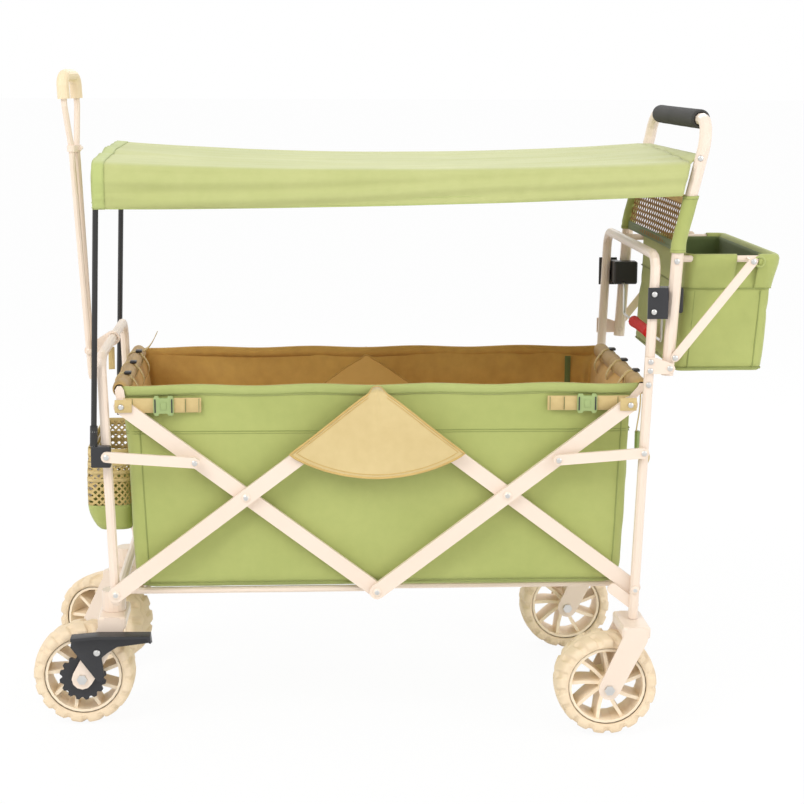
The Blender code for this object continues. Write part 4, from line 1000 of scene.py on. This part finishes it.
def tyre(end, word, x, y, outward):
    """A tyre about the axle through that place, along the level direction outward."""
    out = Vector((outward[0], outward[1], 0)).normalized()
    ahead = Vector((-out.y, out.x, 0))
    centre = Vector((middle + x, y, axle_z))

    def spot(u, v):
        turn = 2 * pi * u
        width, radius = along(tyre_profile, v)
        way = 1 if width > 0 else -1
        reach = abs(width)
        wave = sin(lugs * turn + way * 0.9 + reach * 60.0)
        groove = step_between(0.10, 0.75, wave)
        shoulder = step_between(0.006, 0.014, reach) * step_between(0.0725, 0.0800, radius)
        centre_line = 1 - step_between(0.0015, 0.0035, abs(width - 0.0035 * sin(lugs * turn)))
        sink = lug_depth * groove * shoulder + line_depth * centre_line
        inward = 0.0026 * groove * step_between(0.030, 0.0355, reach) * step_between(0.0705, 0.0760, radius)
        radius -= sink
        width -= way * inward
        return centre + out * width + (ahead * cos(turn) + Vector((0, 0, 1)) * sin(turn)) * radius

    made = cloth("tyre_%s_%s" % (end, word), spot, 272, 50, tyre_tan, "%s_wheel_%s" % (end, word),
                 0.0012, -1.0, ring=True)
    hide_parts("%s_tyre_%s" % (end, word))


tyre("front", "near", -0.5145, -0.1500, (0.0, -1.0))
tyre("front", "far", -0.5073, 0.1771, (0.5, 0.866))
tyre("rear", "near", 0.3996, -0.2500, (0.0, -1.0))
tyre("rear", "far", 0.3996, 0.2500, (0.0, 1.0))
print("four tyres moulded")

# %% [markdown]
# ## The rear basket
# The basket is a bag that hangs from a wire. Its walls belly out and its floor sags, and
# a deep hem is folded over the wire, open where the brace hooks on. An eyelet ring sits there.

# %% Basket
bag_front = middle + 0.5370
bag_rear = middle + 0.6815
bag_half = 0.1990
bag_corner = 0.008
bag_top = 0.829
bag_mouth = 0.828
bag_depth = 0.200
bag_floor_share = 0.2


def bag_drop(z):
    """0 at the bag's wire and about 1 at its floor."""
    return (bag_top - z) / bag_depth


def bag_point(share, z, inset=0.0, out_by=0.0):
    """A point of the bag's wall, which bellies out and creases where it hangs loose."""
    drop = bag_drop(z)
    low_x = bag_front - 0.0160 * drop
    high_x = bag_rear - 0.0130 * drop
    spot, out = corner_path(share, low_x, high_x, bag_half - 0.0025 * drop, bag_corner)
    loose = max(0.0, 1 - abs(2 * drop - 1.05)) ** 0.7
    front = 0.35 if out.x < -0.5 else 1.0
    push = loose * (0.0030 + 0.0050 * crumple(spot.x + spot.y, z, 30.0, 7.0)) * front - inset + out_by
    crease = -0.0016 * max(0.0, sin((spot.x * 2.2 + z) * 60.0)) ** 6 * loose
    spot = spot + out * (push + crease)
    return Vector((spot.x, spot.y, z))


def bag_wall(inset, top, bottom):
    """The bag's floor, for v below its share, and its wall above."""
    centre_x = (bag_front + bag_rear) / 2 - 0.014

    def spot(u, v):
        if v < bag_floor_share:
            edge = bag_point(u, bottom + 0.004, inset)
            share = 0.02 + 0.98 * v / bag_floor_share
            sag = -0.0030 * (1 - share ** 2) + 0.0012 * crumple(edge.x * share, edge.y * share, 5.0, 9.0)
            return Vector((centre_x + (edge.x - centre_x) * share, edge.y * share, bottom + sag))
        share = (v - bag_floor_share) / (1 - bag_floor_share)
        return bag_point(u, bottom + 0.004 + (top - bottom - 0.004) * share, inset)

    return spot


bag = cloth("basket_shell", bag_wall(0.0, bag_mouth, 0.6305), 150, 36, tub_green, "basket", 0.0012, ring=True)
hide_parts("basket_bag")
cloth("basket_inside", bag_wall(0.0022, bag_mouth, 0.6330), 150, 36, dark_green, "basket", 0.0008, ring=True)
run_x = bag_rear - bag_front - 2 * bag_corner
round_bag = 2 * (run_x + (2 * bag_half - 2 * bag_corner)) + 2 * pi * bag_corner
notch_low = (middle + 0.6180 - bag_front - bag_corner) / round_bag
notch_high = (middle + 0.6560 - bag_front - bag_corner) / round_bag
side_run = run_x / round_bag
far_start = (run_x + 2 * bag_half - 2 * bag_corner + pi * bag_corner) / round_bag
hem_profile = [(0.8230, -0.0005), (0.8290, 0.0005), (0.8330, 0.0040), (0.8340, 0.0080), (0.8315, 0.0122),
               (0.8260, 0.0143), (0.8160, 0.0130), (0.8000, 0.0085), (0.7850, 0.0048), (0.7740, 0.0026)]


def hem_part(name, first, last, steps):
    """The folded hem from one share of the way round to another."""
    def spot(u, v):
        z, reach = along(hem_profile, v)
        share = first + (last - first) * u
        out = corner_path(share, bag_front, bag_rear, bag_half, bag_corner)[1]
        slack = 1.0 if out.x > -0.2 else max(0.25, 1.0 + 0.94 * (out.x + 0.2))
        return bag_point(share, z, 0.0, reach * slack)
    cloth(name, spot, steps, 27, tub_green, "basket", 0.0011)


hem_part("basket_hem_rear", notch_high, far_start + side_run - notch_high, 110)
hem_part("basket_hem_front", far_start + side_run - notch_low, 1.0 + notch_low, 90)
for name, z, out_by, radius in (("seam", 0.7745, 0.0032, 0.0008), ("piping", 0.6345, 0.0004, 0.0016)):
    path = [bag_point(k / 200, z, 0.0, out_by) for k in range(200)]
    piping("basket_" + name, path, radius, seam_green, "basket", True)
for side in (-1, 1):
    ring = [across_ring(middle + 0.6570, side * 0.2135, 0.8215, 0.0085, 2 * pi * k / 24) for k in range(24)]
    piping("basket_eyelet_%d" % (side > 0), ring, 0.0022, band_green, "basket", True, 2)
    for x in (bag_front + 0.016, bag_rear - 0.014):
        line = []
        for k in range(16):
            z = 0.770 - k * 0.0090
            lean = bag_drop(z)
            ripple = 0.0014 * crumple(x, z, 30.0, 7.0)
            line.append(Vector((x - 0.0140 * lean, side * (bag_half + 0.0022 - 0.0025 * lean + ripple), z)))
        piping("basket_fold_%d_%d" % (side > 0, x > 0.57), line, 0.0010, seam_green, "basket")
print("basket hung")

# %% [markdown]
# ## Net, sleeves and the foam grip
# Between the handle's legs is a panel of open net with a tan band above and a green one
# below, held by cloth sleeves round the legs. The net is one sheet with its holes in the
# Alpha of the material: two crossed sets of cords, open where neither runs.

# %% Net material
def netting(name, shade, deep, count=105):
    """Two crossed sets of cords, with holes where neither runs."""
    made = Finish(name, 0.75)
    cord = made.maths("MAXIMUM", made.threads(count, "DIAGONAL"), made.threads(count, "DIAGONAL", (1, 1, -1)))
    made.tone(made.noise(40.0, 3.0), deep, shade)
    made.join(made.ramp(cord, (0.66, 0.0), (0.78, 1.0)), made.shader.inputs["Alpha"])
    made.bump(cord, 0.6, 0.001)
    return made.material


net_tan = netting("tan_net", (186, 140, 72), (150, 108, 46))
pocket_net = netting("pocket_net", (214, 190, 130), (184, 156, 96), 170)


# %% Net panel and sleeves
net_low = 0.8405
net_top = 0.9350
leg_y = 0.2400


def leg_x(z):
    """The line of the push handle's legs, which lean further back above the net."""
    return middle + max(0.4986 + (z - 0.6586) * 0.058, 0.5110 + (z - 0.8600) * 0.2370)


def net_sheet(low, high, lift=0.0):
    """A slack sheet between the legs, from one height to another."""
    def spot(u, v):
        y = -0.2280 + 0.4560 * u
        z = low + (high - low) * v
        slack = 0.0035 * sin(pi * v) * sin(pi * u) + 0.0010 * drift(y * 14.0, z * 14.0, 3.0)
        return Vector((leg_x(z) + slack + lift, y, z))
    return spot


net = cloth("net_panel_sheet", net_sheet(0.8410, 0.9345), 50, 14, net_tan, "push_handle", 0.0008)
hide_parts("net_panel")
cloth("net_band_top", net_sheet(0.9200, net_top, -0.0012), 50, 3, lining_light, "push_handle", 0.0016)
cloth("net_band_low", net_sheet(net_low, 0.8560, -0.0012), 50, 3, dark_green, "push_handle", 0.0016)


def leg_sleeve(side):
    """Cloth wrapped round one leg, with a hem at both ends."""
    def spot(u, v):
        z = 0.8400 + 0.0960 * v
        turn = 2 * pi * u
        radius = 0.0125 + 0.0008 * drift(cos(turn) * 1.5, z * 40.0, side * 2.0)
        radius += 0.0006 * (v < 0.08 or v > 0.93)
        return upright_ring(leg_x(z), side * leg_y, z, radius, turn)
    return spot


for side in (-1, 1):
    cloth("net_sleeve_%d" % (side > 0), leg_sleeve(side), 28, 24, tub_green, "push_handle", 0.0012, -1.0,
          ring=True)
    for k, z in enumerate((0.8445, 0.9310)):
        hoop = [upright_ring(leg_x(z), side * leg_y, z, 0.0131, 2 * pi * j / 24) for j in range(24)]
        piping("sleeve_stitch_%d_%d" % (side > 0, k), hoop, 0.0006, seam_green, "push_handle", True)
print("net laced")


# %% Foam grip
def foam_point(u, v):
    y = -0.1800 + 0.3600 * v
    turn = 2 * pi * u
    end = min(1.0, (1 - abs(2 * v - 1)) * 26) ** 0.5
    radius = 0.0116 + 0.0034 * end + 0.0004 * drift(cos(turn), y * 16.0, sin(turn))
    return across_ring(middle + 0.5549, y, 1.0620, radius, turn)


grip = cloth("foam_grip_sleeve", foam_point, 36, 120, foam, "push_handle", 0.0016, -1.0, ring=True)
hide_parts("foam_grip")
print("grip padded")

# %% [markdown]
# ## Front pocket and hanging straps
# A shallow pocket hangs on the front wall: cloth below, open net above, tan webbing round
# its mouth. Loose ends of webbing hang at both ends of the cart, one with a green buckle.

# %% Pocket
def pocket_ring(heights):
    """The pocket's wall through (height, share of its full size) pairs."""
    def spot(u, v):
        z, share = along(heights, v)
        belly = 0.0030 * sin(pi * clamp((z - 0.345) / 0.14))
        taper = 0.0180 * (1 - clamp((z - 0.343) / 0.045)) ** 2
        edge, out = corner_path(u, middle - 0.5010 - belly + taper, middle - 0.4275, 0.1480, 0.016)
        centre = Vector((middle - 0.4640, 0.0))
        edge = centre + (edge - centre) * share
        return Vector((edge.x, edge.y, z + 0.0010 * drift(edge.x * 12, edge.y * 12, z * 9)))
    return spot


pocket_floor = [(0.3445, 0.02), (0.3440, 0.60), (0.3445, 0.97), (0.3500, 1.0), (0.3880, 1.0)]
pocket_shapes = [
    ("pocket_cloth", pocket_floor, 20, tub_green, 0.0012),
    ("pocket_net_wall", [(0.3880, 1.0), (0.4840, 1.0)], 12, pocket_net, 0.0010),
    ("pocket_mouth", [(0.4760, 1.008), (0.4890, 1.008)], 2, web_tan, 0.0016),
]
for k, z in enumerate((0.4330, 0.4470, 0.4610)):
    band = [(z - 0.0032, 1.006), (z + 0.0032, 1.006)]
    pocket_shapes.append(("pocket_band_%d" % k, band, 1, web_tan, 0.0012))
pocket_parts = [cloth(name, pocket_ring(heights), 100, rows, finish, "tub", thickness, ring=True)
                for name, heights, rows, finish, thickness in pocket_shapes]
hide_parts("front_pocket")
print("pocket sewn from", len(pocket_parts), "pieces")

# %% Loose straps
hang_x = middle + 0.4760
hang = [Vector((hang_x + 0.0030 * sin(k * 0.5), -0.1010 + 0.0010 * k, 0.596 - 0.0115 * k)) for k in range(9)]
ribbon("hanging_web", hang, (0.3, 1, 0), 0.0150, web_tan, "rear_frame", 0.0014)
block("hanging_buckle", (hang_x - 0.0040, -0.1040, 0.4700), (hang_x + 0.0050, -0.0850, 0.5040), buckle_green,
      "rear_frame", 0.0022)
loop = [Vector((hang_x + 0.0080 + 0.0130 * sin(pi * k / 16), -0.0950, 0.4780 - 0.0480 * k / 16))
        for k in range(17)]
ribbon("hanging_tail", loop, (0.4, 1, 0), 0.0200, web_tan, "rear_frame", 0.0014)
crossbar_tab = [Vector((middle - 0.4640, -0.0600, 0.6560 - 0.0050 * k)) for k in range(9)]
ribbon("crossbar_tab", crossbar_tab, (1, 0.3, 0), 0.0110, web_tan, "front_frame", 0.0016)
stray = [Vector((middle - 0.4230 + 0.0034 * k, 0.1500 - 0.004 * k, 0.6180 + 0.0016 * k + 0.0004 * k * k))
         for k in range(9)]
ribbon("front_stray_end", stray, (0.2, 1, 0.4), 0.0130, web_tan, "tub", 0.0013)
print("loose ends hung")

# %% [markdown]
# ## Bright rivets and tip tabs
# Every joint of the linkage is closed by a zinc rivet whose domed head catches the light.
# Each head is a small turned dome set over the frame's own one.

# %% Rivet heads
def dome(name, x, z, side, face, body, radius, height):
    """A domed zinc head on the outside of a part whose outer face is at that y."""
    profile = [(radius, 0.0), (radius, 0.0006), (radius * 0.86, 0.0016), (radius * 0.55, height * 0.86),
               (radius * 0.30, height), (0.0002, height * 0.90)]

    def spot(u, v):
        size, rise = along(profile, v)
        return across_ring(x, side * (face + rise), z, size, 2 * pi * u)

    return cloth(name, spot, 20, 10, zinc, body, 0.0004, -1.0, ring=True)


tip_z = 0.5797
push_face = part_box("push_handle_tube")[1].y - 0.0008
rivet_places = [
    ("front_tip", -0.4336, tip_z, 0.2400, "scissor_a"),
    ("rear_tip", 0.4336, tip_z, 0.2502, "scissor_d"),
    ("front_cross", -0.2244, 0.4221, 0.2466, "scissor_b"),
    ("rear_cross", 0.2244, 0.4221, 0.2466, "scissor_d"),
    ("front_foot", -0.4488, 0.2530, 0.2466, "scissor_b"),
    ("rear_foot", 0.4488, 0.2530, 0.2538, "rear_frame"),
    ("low_middle", 0.0, 0.2530, 0.2466, "scissor_d"),
    ("short_front_foot", -0.4581, 0.4975, 0.2616, "short_front"),
    ("short_front_end", -0.3099, 0.4865, 0.2616, "short_front"),
    ("short_rear_foot", 0.4569, 0.4975, 0.2616, "short_rear"),
    ("short_rear_end", 0.3099, 0.4865, 0.2616, "short_rear"),
    ("brace_top", 0.6361, 0.8260, 0.2549, "brace"),
    ("brace_foot", 0.5068, 0.6619, 0.2549, "brace"),
    ("hinge_upper", 0.4649, 0.6554, 0.2568, "rear_frame"),
    ("hinge_lower", 0.4643, 0.6401, 0.2568, "rear_frame"),
    ("hinge_pivot", 0.4980, 0.6440, 0.2568, "rear_frame"),
    ("leg_stop", 0.4625, 0.6153, 0.2540, "rear_frame"),
    ("push_leg_upper", 0.5405, 0.9990, push_face, "push_handle"),
    ("push_leg_lower", 0.5060, 0.8260, push_face, "push_handle"),
    ("bracket_upper", 0.4677, 0.7710, 0.2578, "rear_frame"),
    ("bracket_lower", 0.4677, 0.7410, 0.2578, "rear_frame"),
]
for side, side_word in sides:
    for name, x, z, face, body in rivet_places:
        dome("rivet_%s_%s" % (name, side_word), middle + x, z, side, face + 0.0009, body, 0.0050, 0.0024)
    for word, facing, face in (("front", 1, 0.2392), ("rear", -1, 0.2496)):
        tab = [Vector((middle - facing * (0.4440 - 0.0026 * k), side * (face + 0.0002 * sin(k)), 0.5810))
               for k in range(12)]
        ribbon("tip_tab_%s_%s" % (word, side_word), tab, (0, 0, 1), 0.0220, web_tan, "tub", 0.0014)
print(2 * len(rivet_places), "rivets set")

# %% [markdown]
# ## Brake pedals and pole ferrules
# The pedal is a folded plate: a tread that the foot presses and a side that runs down to the
# ratchet. Its side is drawn once, beside the wheel, then turned with each caster. A bright
# ferrule ends each canopy pole where it enters its socket.

# %% Pedals
pedal_side = [(-0.0157, 0.1716), (0.0307, 0.1755), (0.1215, 0.1745), (0.1234, 0.1560), (0.0623, 0.1484),
              (0.0445, 0.1372), (0.0347, 0.1287), (0.0393, 0.0958), (0.0328, 0.0841), (0.0249, 0.0887),
              (-0.0184, 0.1484)]
pedal_tread = [(-0.0157, 0.1716), (0.0307, 0.1755), (0.1215, 0.1745), (0.1232, 0.1612), (0.1196, 0.1616),
               (0.1160, 0.1692), (0.0307, 0.1700), (-0.0157, 0.1660)]
casters = (("near", (middle - 0.5145, -0.1500, 0.0), 0.0, -1),
           ("far", (middle - 0.5073, 0.1771, 0.0), -radians(30), 1))
for word, centre, heading, side in casters:
    placed = Matrix.Translation(centre) @ Matrix.Rotation(heading, 4, "Z")
    parts = []
    for name, outline, inner, outer in (("side", pedal_side, 0.0535, 0.0585),
                                        ("tread", pedal_tread, 0.0560, 0.0828)):
        low, high = sorted((side * inner, side * outer))
        parts.append(plate("pedal_%s_%s" % (name, word), outline, low, high, black, "pedal_" + word, 0.0010))
    parts.append(dome("pedal_bolt_" + word, 0.0269, 0.1386, side, 0.0585, "pedal_" + word, 0.0062, 0.0030))
    for part in parts:
        part.data.transform(placed)
    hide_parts("brake_pedal_" + word)
print("pedals folded")


# %% Ferrules
def ferrule(side):
    """A short sleeve on the pole, which leans back as it rises."""
    def spot(u, v):
        z = 0.5142 + 0.0260 * v
        x = middle - 0.4800 + (z - 0.514) * (0.0145 / 0.471)
        radius = 0.0060 + 0.0004 * (v < 0.06 or v > 0.94)
        return upright_ring(x, side * 0.2450, z, radius, 2 * pi * u)
    return spot


for side, word in sides:
    cloth("pole_ferrule_" + word, ferrule(side), 24, 18, zinc, "front_frame", 0.0007, -1.0, ring=True)
print("poles ended")

# %% [markdown]
# ## Own meshes and material slots
# The tub's, canopy's and basket's sewn pieces each get a mesh of their own, and a table
# pairs the finishes with the record's material slots.

# %% Own meshes and slot table
for piece in sewn["tub"]:
    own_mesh(piece)
for piece in sewn["front_frame"]:
    if piece.name.startswith(("canopy", "apron")):
        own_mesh(piece)
for piece in sewn["basket"]:
    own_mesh(piece)
record_slots = {
    tub_green: "green_cloth", canopy_pale: "pale_green_cloth", net_tan: "tan_net", foam: "black_foam",
    tyre_tan: "tan_rubber", zinc: "zinc_steel", black: "black_plastic", cream: "cream_paint",
}
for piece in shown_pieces():
    finish = piece.data.materials[0] if piece.data.materials else None
    finish in record_slots and piece.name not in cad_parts
